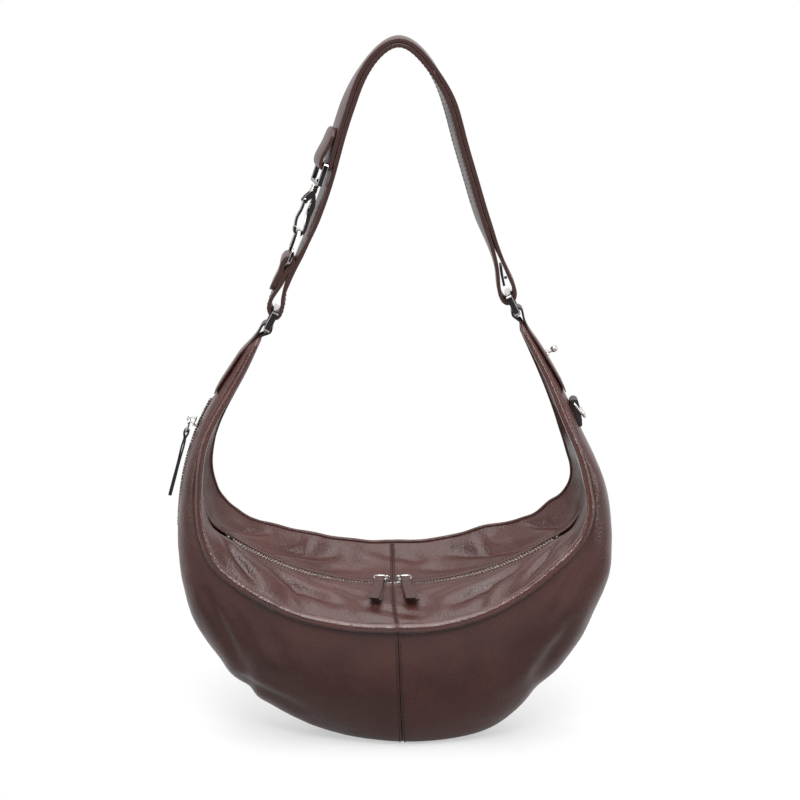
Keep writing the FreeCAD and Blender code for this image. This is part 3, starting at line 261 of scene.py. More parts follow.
def round_corners(points, radius, steps=5):
    """Closed loop of points with each corner rounded."""
    pts = [np.array(p, float) for p in points]
    out = []
    for i, corner in enumerate(pts):
        before = corner + unit(pts[i - 1] - corner) * radius
        after = corner + unit(pts[(i + 1) % len(pts)] - corner) * radius
        for t in np.linspace(0, 1, steps + 1):
            out.append(before * (1 - t) ** 2 + corner * 2 * t * (1 - t) + after * t * t)
    return out


def rounded_section(width, height, radius, steps=3):
    """Outline of a rounded rectangle, centred, as pairs."""
    out = []
    for sx, sy, start in ((1, 1, 0), (-1, 1, 90), (-1, -1, 180), (1, -1, 270)):
        for k in range(steps + 1):
            a = math.radians(start + 90 * k / steps)
            out.append((sx * (width / 2 - radius) + radius * math.cos(a),
                        sy * (height / 2 - radius) + radius * math.sin(a)))
    return out


def round_section(radius, steps=12):
    return [(radius * math.cos(a), radius * math.sin(a))
            for a in np.linspace(0, 2 * math.pi, steps, endpoint=False)]


def turn_y(point, angle, centre=(0, 0, 0)):
    """Point turned about the Y axis through a centre, in degrees."""
    a = math.radians(angle)
    x, y, z = np.array(point, float) - np.array(centre, float)
    turned = (x * math.cos(a) + z * math.sin(a), y, -x * math.sin(a) + z * math.cos(a))
    return np.array(turned) + np.array(centre)


def linked(name, data):
    """New object in the scene."""
    piece = bpy.data.objects.new(name, data)
    bpy.context.scene.collection.objects.link(piece)
    return piece


def finish(name, shape, kind, rides=None, node=None, sharp=45.0):
    """Mesh object in metres from millimetre points, smooth but for sharp corners, tied to the frame."""
    verts, faces = shape
    mesh = bpy.data.meshes.new(name)
    mesh.from_pydata([(v[0] * MM, v[1] * MM, max(v[2], 0.0) * MM) for v in verts], [], faces)
    mesh.validate()
    piece = linked(name, mesh)
    built = bmesh.new()
    built.from_mesh(mesh)
    bmesh.ops.remove_doubles(built, verts=built.verts, dist=WELD_DISTANCE)
    bmesh.ops.recalc_face_normals(built, faces=built.faces)
    built.to_mesh(mesh)
    built.free()
    mesh.shade_smooth()
    mesh.set_sharp_from_angle(angle=math.radians(sharp))
    mesh.materials.append(material(kind))
    if node:
        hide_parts(node)
    if rides:
        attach(piece, rides)
    return piece


def grid(points):
    """Rows of points as a sheet."""
    rows, columns = points.shape[:2]
    return list(points.reshape(-1, 3)), [
        (i * columns + j, i * columns + j + 1, (i + 1) * columns + j + 1, (i + 1) * columns + j)
        for i in range(rows - 1) for j in range(columns - 1)]


def tube_faces(rows, around, closed=False):
    """Faces round rows of points, with end caps unless the rows close on themselves."""
    faces = []
    for i in range(rows if closed else rows - 1):
        for j in range(around):
            k, n = (j + 1) % around, (i + 1) % rows
            faces.append((i * around + j, i * around + k, n * around + k, n * around + j))
    if not closed:
        faces += [tuple(range(around - 1, -1, -1)), tuple((rows - 1) * around + j for j in range(around))]
    return faces


def sweep(points, section, across=(0, 1, 0), closed=False, scales=None):
    """Section carried along points; across stays its first direction."""
    pts = [np.array(p, float) for p in points]
    count = len(pts)
    verts = []
    for i, p in enumerate(pts):
        ahead = pts[(i + 1) % count] if closed else pts[min(i + 1, count - 1)]
        behind = pts[i - 1] if closed else pts[max(i - 1, 0)]
        along = unit(ahead - behind)
        wide = np.array(across, float)
        wide = unit(wide - along * wide.dot(along))
        high = np.cross(along, wide)
        sw, sh = scales[i] if scales else (1, 1)
        verts += [p + wide * a * sw + high * b * sh for a, b in section]
    return verts, tube_faces(count, len(section), closed)


def lathe(profile, origin, axis, steps=20):
    """Pairs of radius and height turned about an axis."""
    axis = unit(np.array(axis, float))
    side = unit(np.cross(axis, (0, 1, 0.01)))
    other = np.cross(axis, side)
    verts = []
    for radius, height in profile:
        for a in np.linspace(0, 2 * math.pi, steps, endpoint=False):
            round_about = side * math.cos(a) + other * math.sin(a)
            verts.append(np.array(origin) + axis * height + round_about * max(radius, 0.01))
    return verts, tube_faces(len(profile), steps)


def slab(outline, levels):
    """Outline pairs stacked at levels of (height, scale)."""
    verts = [np.array((x * s, y * s, z)) for z, s in levels for x, y in outline]
    return verts, tube_faces(len(levels), len(outline))


def joined(*shapes):
    """Several shapes as one."""
    verts, faces = [], []
    for v, f in shapes:
        faces += [tuple(i + len(verts) for i in face) for face in f]
        verts += list(v)
    return verts, faces


def placed(shape, move):
    """Shape with each vertex passed through a function."""
    return [move(v) for v in shape[0]], shape[1]


def ball_profile(radius, centre, steps=8):
    return [(radius * math.sin(a), centre - radius * math.cos(a)) for a in np.linspace(0, math.pi, steps + 1)]


def block(low, high, bevel, steps=2):
    """Box between corners with rounded edges."""
    low, high = np.array(low, float), np.array(high, float)
    size, middle = high - low, (high + low) / 2
    section = rounded_section(size[1], size[2], bevel, steps)
    ends = [(low[0], 0.86), (low[0] + bevel, 1.0), (high[0] - bevel, 1.0), (high[0], 0.86)]
    points = [(x, middle[1], middle[2]) for x, _ in ends]
    return sweep(points, section, scales=[(s, s) for _, s in ends])


def stitch_row(points, normals, pitch, size, radius, sink):
    """Separate stitches along a line that lies on a surface."""
    pts = np.array(points, float)
    at = walked(pts)
    shapes = []
    for middle in np.arange(pitch / 2, at[-1] - pitch / 2, pitch):
        ends = []
        for s in (middle - size / 2, middle, middle + size / 2):
            i = min(max(int(np.searchsorted(at, s)) - 1, 0), len(pts) - 2)
            t = (s - at[i]) / max(at[i + 1] - at[i], 1e-9)
            lift = radius - sink if s == middle else -radius * 0.4
            ends.append(pts[i] + (pts[i + 1] - pts[i]) * t + np.array(normals[i]) * lift)
        tapered = [(0.7, 0.7), (1, 1), (0.7, 0.7)]
        shapes.append(sweep(ends, round_section(radius, 6), normals[i], scales=tapered))
    return joined(*shapes)


def soft(points, size, seed):
    """Smooth noise from -1 to 1 at each point, for the slack of the hide."""
    values = [noise.noise(Vector((x / size + seed, y / size, z / size)))
              for x, y, z in points.reshape(-1, 3)]
    return np.array(values).reshape(points.shape[:-1])


def hump(value, width):
    """1 at zero, falling off to either side."""
    return np.exp(-(value / width) ** 2)


def fold_depth(x, z, folds):
    """How far the folds press in or stand out at each point."""
    depth = np.zeros_like(x)
    for x0, z0, x1, z1, width, deep in folds:
        dx, dz = x1 - x0, z1 - z0
        t = np.clip(((x - x0) * dx + (z - z0) * dz) / (dx * dx + dz * dz), 0, 1)
        gap = np.hypot(x - x0 - dx * t, z - z0 - dz * t) / width
        # A sunk line with a low swell on either side of it.
        depth -= deep * np.sin(math.pi * (0.15 + 0.7 * t)) * (1.0 - 1.4 * gap ** 2) * np.exp(-gap ** 2)
    return depth


class Body:
    """Guide lines and surfaces of the soft body, from the sizes."""

    def __init__(self):
        self.zip_radius = mm("zip_radius")
        self.zip_centre = np.array([mm("zip_shift"), 0, mm("zip_height") + self.zip_radius])
        self.roll, self.roll_tip = mm("roll_radius"), mm("roll_tip_radius")
        self.slot = mm("zip_slot")
        wide, high = mm("half_width"), mm("horn_height")

        def ridge(left, centre, right, depth):
            return [np.array((x * wide, y * depth, z * high)) for x, y, z in left[::-1] + [centre] + right]
        outer = [np.array((x * wide, 0, z * high))
                 for x, z in LEFT_OUTER[::-1] + [CENTRE_OUTER] + RIGHT_OUTER]
        front = ridge(LEFT_FRONT, CENTRE_FRONT, RIGHT_FRONT, mm("front_depth"))
        back = ridge(LEFT_BACK, CENTRE_BACK, RIGHT_BACK, mm("back_depth"))
        stations = range(-LAST_STATION, LAST_STATION + 1)
        self.outer_line, self.front_line, self.back_line = (
            spline(line, stations) for line in (outer, front, back))
        crest = []
        for station, o, f, b in zip(stations, outer, front, back):
            if abs(station) <= ZIP_END_STATION:
                share = ZIP_ANGLES[abs(station)]
                crest.append(self.zip_point(-math.copysign(ZIP_END_ANGLE * share, station)))
            else:
                middle = (f + b) / 2
                middle = middle + (o - middle) * 0.08
                crest.append(np.array((middle[0], 0, middle[2])))
        self.crest = spline(crest, stations)

    def zip_point(self, angle, drop=0.0, y=0.0):
        """Point on the zip's arc; a positive angle is to the left."""
        return turn_y(self.zip_centre + (0, y, -self.zip_radius - drop), angle, self.zip_centre)

    def out(self, u):
        """Direction square to the outer edge, away from the bag."""
        along = unit(self.outer_line(u + 0.02) - self.outer_line(u - 0.02))
        return np.array((along[2], 0, -along[0]))

    def outer(self, u):
        bulge = sum(amount * math.exp(-((u - at) / width) ** 2) for at, width, amount in OUTLINE)
        return self.outer_line(u) + self.out(u) * bulge

    def ridge(self, u, front):
        """Ridge line with the slack of the hide; the back one is slacker."""
        line = self.front_line if front else self.back_line
        calm = 1 - smooth_step(abs(u), 6, 9)
        rise = noise.noise(Vector((u * 1.3, 2.0 if front else 9.0, 0))) * (0.9 if front else 2.6) * calm
        return line(u) + (0, 0, rise)

    def roll_radius(self, u, front):
        """The back edge is only turned over, so its roll is slimmer."""
        radius = self.roll + (self.roll_tip - self.roll) * abs(u) / LAST_STATION
        return radius if front else radius * 0.35

    def section(self, u, kind, front):
        """Four Bezier points across the body at a station, and the share at which the hide stops."""
        top = self.ridge(u, front)
        if kind == "panel":
            edge = self.outer(u)
            belly = 0.60 + 0.30 * smooth_step(abs(u), 3.0, 6.5)
            level = edge + (0, top[1] * belly, 0)
            last = top + np.array((edge[0] - top[0], 0, edge[2] - top[2])) * 0.50
        else:
            closing = smooth_step(abs(u), ZIP_END_STATION, SLOT_CLOSED_STATION)
            slot = self.slot * (1 - closing) + 0.3 * closing
            edge = self.crest(u) + (0, math.copysign(slot / 2, top[1]), 0)
            level = edge + (0, top[1] * 0.45, 0)
            last = level + (top - level) * 0.55
        along = unit(self.ridge(u + 0.02, front) - self.ridge(u - 0.02, front))
        reach = last - top
        square = np.linalg.norm(reach - along * reach.dot(along))
        return edge, level, last, top, 1 - 0.80 * self.roll_radius(u, front) / (3 * square)

    def surface(self, stations, shares, kind, front):
        """Grid of points on a panel or gusset, one row for each station."""
        rows = []
        for u in stations:
            a, b, c, d, end = self.section(u, kind, front)
            t = (np.asarray(shares, float) * end)[:, None]
            r = 1 - t
            rows.append(a * r ** 3 + b * 3 * r * r * t + c * 3 * r * t * t + d * t ** 3)
        points = np.array(rows)
        # The underside is pressed flat where it stands on the floor; high points would overflow exp.
        most = 40
        share = np.minimum((points[..., 2] + BASE_FLAT) / BASE_SOFTNESS, most)
        pressed = BASE_SOFTNESS * np.log1p(np.exp(share)) - BASE_FLAT
        points[..., 2] = np.where(share < most, pressed, points[..., 2])
        return points

    def outwards(self, stations, shares, kind, front):
        """Unit normals of such a grid, away from the inside."""
        u, v, step = np.asarray(stations, float), np.asarray(shares, float), 0.01
        along = self.surface(u + step, v, kind, front) - self.surface(u - step, v, kind, front)
        across = self.surface(u, v + step, kind, front) - self.surface(u, v - step, kind, front)
        normal = np.cross(along, across)
        normal /= np.maximum(np.linalg.norm(normal, axis=-1, keepdims=True), 1e-9)
        return normal * (1 if front == (kind == "panel") else -1)

    def panel_swell(self, p, v, front):
        """Swell of the hide: slack, folds, and the pulled-in seams."""
        inside = np.sqrt(np.sin(math.pi * np.clip(v, 0, 1)))
        calm = 1.0 - 0.75 * hump(p[..., 2], 12.0)
        swell = 1.7 * soft(p, 62, 3.1) + 0.9 * soft(p, 27, 8.4) + 0.3 * soft(p, 11, 1.7)
        x, z = (p[..., 0], p[..., 2]) if front else (14 - p[..., 0], p[..., 2] + 8)
        swell = swell + fold_depth(x, z, PANEL_FOLDS)
        edge = -1.0 * np.exp(-(v * 70) ** 2)
        if front:
            edge = edge - hump(v - 1, 0.07)
        return swell * calm * inside + edge

    def gusset_swell(self, p, u, v, front):
        """The same for a gusset, which is slacker."""
        inside = np.sin(math.pi * np.clip(v, 0, 1)) ** 0.7
        swell = 3.2 * soft(p, 44, 5.2) + 2.1 * soft(p * (1, 0.5, 1), 20, 2.4) + 0.2 * soft(p, 9, 7.7)
        x = p[..., 0] if front else -p[..., 0] - 12
        swell = swell + fold_depth(x, np.abs(p[..., 1]), GUSSET_FOLDS) * (2.1 if front else 1.8)
        # The edge is turned down along the zip, and the hide sinks where the pulls lie.
        near = hump(p[..., 0] + 7, 42) if front else 0
        lip = (2.5 * near - 1.1) * hump(v, 0.035)
        room = 2.0
        if front:
            track = hump(np.abs(p[..., 1]) - 40, 14) * (u < 7.5)
            lip = lip - 2.4 * track - (2.2 + 1.3 * soft(p, 24, 4.4)) * hump(v - 1, 0.16)
            room = 0.5 + 1.6 * track
        # Soft minimum of the swell and the room there is for it.
        swell = -np.log(np.exp(-2 * swell) + np.exp(-2 * room)) / 2
        return swell * inside + lip

    def hide(self, stations, shares, kind, front):
        """Points and normals of the hide with its slack, never under the floor."""
        points = self.surface(stations, shares, kind, front)
        normals = self.outwards(stations, shares, kind, front)
        u, v = np.abs(np.asarray(stations, float))[:, None], np.asarray(shares, float)[None, :]
        if kind == "panel":
            swell = self.panel_swell(points, v, front)
        else:
            swell = self.gusset_swell(points, u, v, front)
        horn = np.array([1 - 0.6 * smooth_step(x, 8.0, 11) for x in u[:, 0]])[:, None]
        seam = -hump(u * STATION_STEP, 0.9)
        points = points + normals * (swell * horn + seam)[..., None]
        points[..., 2] = np.maximum(points[..., 2], 0.0)
        return points, normals

    def apex(self, side):
        """Where a horn's leather is gathered, just under its ring."""
        foot = np.array(RING_FEET["left" if side < 0 else "right"])
        tip = self.outer_line(side * LAST_STATION)
        return foot - unit(foot - tip) * 6.0 - self.out(side * LAST_STATION) * 0.6


def add(tree, kind, settings=None, links=None):
    """Adds a node; settings are its inputs or properties, links are inputs from other sockets."""
    node = tree.nodes.new(kind)
    for key, value in (settings or {}).items():
        if isinstance(key, int) or key in node.inputs:
            node.inputs[key].default_value = value
        else:
            setattr(node, key, value)
    for key, socket in (links or {}).items():
        tree.links.new(socket, node.inputs[key])
    return node


def cloudy(tree, place, size, detail):
    """Noise with features of a size in millimetres."""
    return add(tree, "ShaderNodeTexNoise", {"Scale": 1 / (size * MM), "Detail": detail},
               {"Vector": place}).outputs["Fac"]


def banded(tree, place, spacing, direction):
    """Even bands with a spacing in millimetres; a wave texture has about 3.2 bands to a unit of scale."""
    return add(tree, "ShaderNodeTexWave", {"Scale": 0.314 / (spacing * MM), "bands_direction": direction},
               {"Vector": place}).outputs["Fac"]


def ranged(tree, value, low, high, to_low=0.0, to_high=1.0, ramp="LINEAR"):
    return add(tree, "ShaderNodeMapRange", {"interpolation_type": ramp, "From Min": low, "From Max": high,
                                            "To Min": to_low, "To Max": to_high},
               {"Value": value}).outputs["Result"]


def maths(tree, operation, first, second):
    return add(tree, "ShaderNodeMath", {"operation": operation}, {0: first, 1: second}).outputs["Value"]


def shade(value, factor=1.0):
    return tuple(c * factor for c in value) + (1.0,)


def tinted(tree, shader, share, low, high):
    """Base colour from one colour to another by a share."""
    mixed = add(tree, "ShaderNodeMix", {"data_type": "RGBA", 6: low, 7: high}, {0: share})
    tree.links.new(mixed.outputs[2], shader.inputs["Base Color"])
    return mixed


def raised(tree, shader, height, strength, distance, invert=False):
    """Relief with a depth in millimetres."""
    bump = add(tree, "ShaderNodeBump", {"Strength": strength, "Distance": distance * MM, "invert": invert},
               {"Height": height})
    for socket in ("Normal", "Coat Normal"):
        tree.links.new(bump.outputs["Normal"], shader.inputs[socket])


def new_material(name, settings):
    """Material with its shader's constants set, its tree, shader and place on the object."""
    made = bpy.data.materials.new(name)
    made.use_nodes = True
    tree = made.node_tree
    shader = tree.nodes["Principled BSDF"]
    for key, value in settings.items():
        shader.inputs[key].default_value = value
    return made, tree, shader, add(tree, "ShaderNodeTexCoord").outputs["Object"]


def leather(name, base, deep, grain, gloss, relief, wax=0.12):
    """Drum-dyed cowhide with a milled grain: pebbles that catch the light, darker pores between
    them, and a waxed top coat that gives broad soft highlights with a brighter core."""
    made, tree, shader, place = new_material(
        name, {"IOR": 1.43, "Coat Weight": wax, "Coat Roughness": 0.30})
    # Real pebbles are about 0.7 mm; drawn about three times as coarse so that they show.
    pebbles = add(tree, "ShaderNodeTexVoronoi",
                  {"feature": "SMOOTH_F1", "Scale": 1 / (grain * MM), "Smoothness": 0.5},
                  {"Vector": place}).outputs["Distance"]
    pores = cloudy(tree, place, 0.5 * grain, 4.0)
    mottle = cloudy(tree, place, 48, 3.0)
    tone = add(tree, "ShaderNodeValToRGB", None, {"Fac": mottle})
    for stop, position, value in zip(tone.color_ramp.elements, (0.30, 0.72), (deep, base)):
        stop.position = position
        stop.color = shade(value)
    hollow = ranged(tree, pebbles, 0.25, 0.75, 0.0, 0.35)
    dyed = tinted(tree, shader, hollow, shade(base), shade(deep, 0.6))
    tree.links.new(tone.outputs["Color"], dyed.inputs[6])
    tree.links.new(ranged(tree, mottle, 0.3, 0.7, gloss - 0.06, gloss + 0.08), shader.inputs["Roughness"])
    height = add(tree, "ShaderNodeMath", {"operation": "MULTIPLY_ADD", 1: 0.35}, {0: pores, 2: pebbles})
    raised(tree, shader, height.outputs["Value"], relief, 0.5, True)
    return made


def edge_paint(name, value):
    """Acrylic edge paint, rolled on: smooth, with a low sheen and slight ripples."""
    made, tree, shader, place = new_material(name, {"Roughness": 0.40})
    ripple = cloudy(tree, place, 3.0, 2.0)
    tinted(tree, shader, ripple, shade(value, 0.7), shade(value, 1.5))
    raised(tree, shader, ripple, 0.2, 0.15)
    return made


def woven_cloth(name, value, thread, rough):
    """Woven polyester: over-and-under threads that break up the light into fine ribs."""
    made, tree, shader, place = new_material(name, {"Roughness": rough, "Sheen Weight": 0.15})
    # Threads of about 0.3 mm are drawn at the given spacing, so that the weave shows.
    weave = maths(tree, "MULTIPLY", *[banded(tree, place, thread, way) for way in ("X", "Z")])
    tinted(tree, shader, weave, shade(value, 0.6), shade(value))
    raised(tree, shader, weave, 0.4, 0.2)
    return made


def plated(name, value, rough):
    """Die-cast zinc, plated and polished: mirror-like, with faint hairlines and cloudier patches."""
    made, tree, shader, place = new_material(name, {"Metallic": 1.0})
    # Polishing lines are under 0.1 mm; drawn at about 0.6 mm so that they show.
    lines = cloudy(tree, place, 0.6, 3.0)
    cloud = cloudy(tree, place, 6, 2.0)
    tinted(tree, shader, cloud, shade(value, 0.75), shade(value))
    tree.links.new(ranged(tree, cloud, 0.0, 1.0, rough - 0.05, rough + 0.08), shader.inputs["Roughness"])
    raised(tree, shader, lines, 0.05, 0.03)
    return made


def sewing_thread(name, value):
    """Bonded polyester thread: matt, with a twist that shows as short slanted lights."""
    made, tree, shader, place = new_material(name, {"Roughness": 0.7})
    tinted(tree, shader, banded(tree, place, 0.7, "DIAGONAL"), shade(value, 0.6), shade(value))
    return made


# What each kind of surface is made by: its maker and name, then colours by name and the maker's values.
# The rolled edges are the body's hide, stretched round a filler, and shinier; their redder colour is a
# painted stand-in for the weaker grey reflection on the rounded rolls.
MATERIALS = {
    "body_leather": (leather, "milled_cowhide", "leather", "leather_deep", 2.0, 0.36, 0.48),
    "roll_leather": (leather, "stretched_cowhide", "roll", "leather_deep", 1.5, 0.27, 0.42, 0.7),
    "strap_leather": (leather, "strap_bridle_leather", "strap", "leather_deep", 1.8, 0.38, 0.30),
    "strap_edge": (edge_paint, "brown_edge_paint", "edge_paint"),
    "black_edge": (edge_paint, "black_edge_paint", "black_edge"),
    "zip_cloth": (woven_cloth, "woven_polyester_tape", "tape", 0.8, 0.8),
    "lining_cloth": (woven_cloth, "plain_weave_lining", "lining", 0.9, 0.85),
    # Flat faces of the rings and hook take this painted dark reflection; their edges keep the bright nickel.
    "dark_nickel": (plated, "polished_dark_nickel", "dark_nickel", 0.16),
    "nickel": (plated, "polished_nickel", "nickel", 0.16),
    "tooth_metal": (plated, "nickel_plated_teeth", "teeth", 0.26),
    "thread": (sewing_thread, "bonded_polyester_thread", "thread"),
}


def material(kind):
    """Material of a kind of surface, made at its first use."""
    maker, name, *values = MATERIALS[kind]
    return bpy.data.materials.get(name) or maker(
        name, *[tint(value) if isinstance(value, str) else value for value in values])


class BAG_OT_stage(bpy.types.Operator):
    """Floor, soft studio light, white surroundings and the camera"""

    bl_idname = "bag.stage"
    bl_label = "Stage"

    def execute(self, context):
        scene = context.scene
        scene.view_settings.view_transform = "Standard"
        camera_data = bpy.data.cameras.new("camera")
        camera_data.lens = CAMERA_LENS
        camera_data.sensor_width = CAMERA_SENSOR
        camera = linked("camera", camera_data)
        camera.location = CAMERA_PLACE
        camera.rotation_euler = (math.radians(90 - CAMERA_DROP), 0, 0)
        scene.camera = camera

        mesh = bpy.data.meshes.new("floor")
        corners = [(x * FLOOR_REACH, y * FLOOR_REACH, 0) for x, y in ((-1, -1), (1, -1), (1, 1), (-1, 1))]
        mesh.from_pydata(corners, [], [(0, 1, 2, 3)])
        floor = linked("floor", mesh)
        floor.location.z = -FLOOR_DROP
        mesh.materials.append(self.floor_material())
        scene.world = self.surroundings()
        for name, place, aim, wide, high, power, mirrored in LAMPS:
            data = bpy.data.lights.new(name, "AREA")
            data.shape = "RECTANGLE"
            data.size, data.size_y, data.energy = wide, high, power
            lamp = linked(name, data)
            lamp.location = place
            lamp.visible_glossy = mirrored
            lamp.rotation_euler = (Vector(aim) - Vector(place)).to_track_quat("-Z", "Y").to_euler()
        return {"FINISHED"}

    def seen(self, tree):
        """1 where a camera, mirror-like or see-through ray looks at the surroundings."""
        path = add(tree, "ShaderNodeLightPath").outputs
        two = maths(tree, "MAXIMUM", path["Is Camera Ray"], path["Is Glossy Ray"])
        return maths(tree, "MAXIMUM", two, path["Is Transmission Ray"])

    def dimmed(self, tree, level, share):
        """A level of light, of which mirror-like rays see only a share."""
        mirror = add(tree, "ShaderNodeLightPath").outputs["Is Glossy Ray"]
        part = add(tree, "ShaderNodeMix", {"data_type": "FLOAT", 2: 1.0}, {0: mirror, 3: share})
        return maths(tree, "MULTIPLY", level, part.outputs[0])

    def floor_material(self):
        """Matt white sweep: takes the shadow near the bag and fades to plain white away from it."""
        made, tree, shader, place = new_material("matt_white_sweep", {})
        tree.nodes.remove(shader)
        seen = self.seen(tree)
        away = add(tree, "ShaderNodeVectorMath", {"operation": "LENGTH"}, {0: place}).outputs["Value"]
        depth = add(tree, "ShaderNodeSeparateXYZ", None, {0: place}).outputs["Y"]
        # Mirror-like rays see the floor dark along the front of the bag, and white behind it.
        behind = ranged(tree, depth, -0.08, 0.10, 0.10, 1.0, "SMOOTHSTEP")
        front = ranged(tree, depth, -0.10, -0.24, 0.0, 0.85, "SMOOTHSTEP")
        share = maths(tree, "MAXIMUM", behind, front)
        paper = add(tree, "ShaderNodeBsdfDiffuse", {"Color": (0.82, 0.82, 0.82, 1)}).outputs[0]
        glow = add(tree, "ShaderNodeEmission", None, {"Strength": self.dimmed(tree, seen, share)}).outputs[0]
        lit = ranged(tree, depth, -0.04, -0.12, 0.50, 0.82)
        near = add(tree, "ShaderNodeMixShader", None, {0: lit, 1: paper, 2: glow}).outputs[0]
        far = ranged(tree, away, 0.20, 0.44, 0.0, 1.0, "SMOOTHSTEP")
        white = maths(tree, "MULTIPLY", far, seen)
        both = add(tree, "ShaderNodeMixShader", None, {0: white, 1: near, 2: glow})
        tree.links.new(both.outputs[0], tree.nodes["Material Output"].inputs["Surface"])
        return made

    def surroundings(self):
        world = bpy.data.worlds.new("white_studio")
        world.use_nodes = True
        tree = world.node_tree
        level = ranged(tree, self.seen(tree), 0.0, 1.0, 0.20, 1.0)
        # Mirror-like rays see the white wall behind the bag, and a dim room in front of and above it.
        looked = add(tree, "ShaderNodeTexCoord").outputs["Generated"]
        way = add(tree, "ShaderNodeSeparateXYZ", None, {0: looked}).outputs
        behind = ranged(tree, way["Y"], -0.40, 0.15, 0.0, 1.0, "SMOOTHSTEP")
        low = ranged(tree, way["Z"], 0.82, 0.68, 0.0, 1.0, "SMOOTHSTEP")
        share = ranged(tree, maths(tree, "MULTIPLY", behind, low), 0.0, 1.0, 0.20, 1.0)
        back = tree.nodes["Background"]
        tree.links.new(self.dimmed(tree, level, share), back.inputs["Strength"])
        back.inputs["Color"].default_value = (1, 1, 1, 1)
        return world


class BAG_OT_leather_body(bpy.types.Operator):
    """Front and back panels and the gussets beside the zip, with their folds and seams"""

    bl_idname = "bag.leather_body"
    bl_label = "Leather body"

    # Stations crowd at the centre seam, and shares at the outer edge of a panel and at a gusset's lip.
    stations = np.concatenate([[0.0, 0.012, 0.028, 0.05, 0.08, 0.12, 0.18, 0.26],
                               np.linspace(0.26, LAST_STATION, 130)[1:]])
    shares = {"panel": np.concatenate([[0.0, 0.004, 0.009, 0.016, 0.026], np.linspace(0.04, 1, 48)]),
              "gusset": np.concatenate([[0.0, 0.012, 0.028], np.linspace(0.05, 1, 32)])}
    # Rows that close a horn: share of the way to its apex, and what is left of its width there.
    closing = ((0.25, 0.84), (0.5, 0.66), (0.75, 0.46), (0.92, 0.30), (1.0, 0.05))

    def execute(self, context):
        body = Body()
        for where, front in FACES:
            for name, side in SIDES:
                for kind in ("panel", "gusset"):
                    node = f"{where}_{kind}_{name}"
                    shape = self.hide(body, kind, front, side)
                    finish(node + "_hide", shape, "body_leather", "bag", node, 75)
        return {"FINISHED"}

    def hide(self, body, kind, front, side):
        points, normals = body.hide(side * self.stations, self.shares[kind], kind, front)
        rows, columns = points.shape[:2]
        verts, faces = grid(points)
        if kind == "gusset":
            # The lip along the zip is turned down.
            first = len(verts)
            for lip, out in zip(points[:, 0], normals[:, 0]):
                inner = np.array([0, math.copysign(0.25, lip[1]), 0])
                verts += [lip - out * 0.6 - inner, lip - out * 1.5 + inner]
            for i in range(rows - 1):
                a, b = first + 2 * i, first + 2 * (i + 1)
                faces += [(i * columns, (i + 1) * columns, b, a), (a, b, b + 1, a + 1)]
        # The horn's leather is gathered to a point under its ring.
        tip = side * LAST_STATION
        centre = (body.outer_line(tip) + body.front_line(tip) + body.back_line(tip) + body.crest(tip)) / 4
        apex = body.apex(side)
        row = range((rows - 1) * columns, rows * columns)
        for share, scale in self.closing:
            next_row = range(len(verts), len(verts) + columns)
            verts += list(centre + (apex - centre) * share + (points[-1] - centre) * scale)
            faces += [(row[j], row[j + 1], next_row[j + 1], next_row[j]) for j in range(columns - 1)]
            row = next_row
        return verts, faces


class BAG_OT_rolled_edges(bpy.types.Operator):
    """Rolled edges along the ridges, doubled in the front of the horns"""

    bl_idname = "bag.rolled_edges"
    bl_label = "Rolled edges"

    second_start = 4.4           # station at which the second roll sets in

    def execute(self, context):
        body = Body()
        for where, front in FACES:
            for name, side in SIDES:
                shape = self.main_roll(body, front, side)
                if front:
                    shape = joined(shape, self.second_roll(body, side))
                node = f"{where}_welt_{name}"
                kind = "roll_leather" if front else "body_leather"
                finish(node + "_roll", shape, kind, "bag", node, 70)
        return {"FINISHED"}

    def roll(self, points, widths, apex):
        """Tube through points that runs out to the gathered tip."""
        end = points[-1]
        points = points + [end + (apex - end) * t for t in (0.3, 0.55, 0.78)]
        widths = widths + [widths[-1] * t for t in (0.85, 0.62, 0.30)]
        return sweep(points, round_section(1.0, 16), scales=[(w, w) for w in widths])

    def main_roll(self, body, front, side):
        points, widths = [], []
        for u in np.linspace(0, side * LAST_STATION, 170):
            p = body.ridge(u, front)
            pinch = 1 - 0.16 * hump(abs(u) * STATION_STEP, 2.2)
            uneven = 1 + 0.10 * noise.noise(Vector((p[0] / 14, 4.0, p[2] / 14)))
            points.append(p)
            widths.append(body.roll_radius(u, front) * pinch * uneven)
        return self.roll(points, widths, body.apex(side))

    def second_roll(self, body, side):
        points, widths = [], []
        for u in np.linspace(side * self.second_start, side * LAST_STATION, 110):
            ridge = body.ridge(u, True)
            beside = unit(body.surface([u], [0.80], "gusset", True)[0, 0] - ridge)
            out = body.outwards([u], [0.85], "gusset", True)[0, 0]
            start = smooth_step(abs(u), self.second_start, self.second_start + 2)
            size = (2.6 - 0.9 * abs(u) / LAST_STATION) * (0.15 + 0.85 * start)
            apart = body.roll_radius(u, True) * 0.9 + size * 0.75
            points.append(ridge + beside * apart + out * (size * 0.9 - 1.2))
            widths.append(size)
        return self.roll(points, widths, body.apex(side))


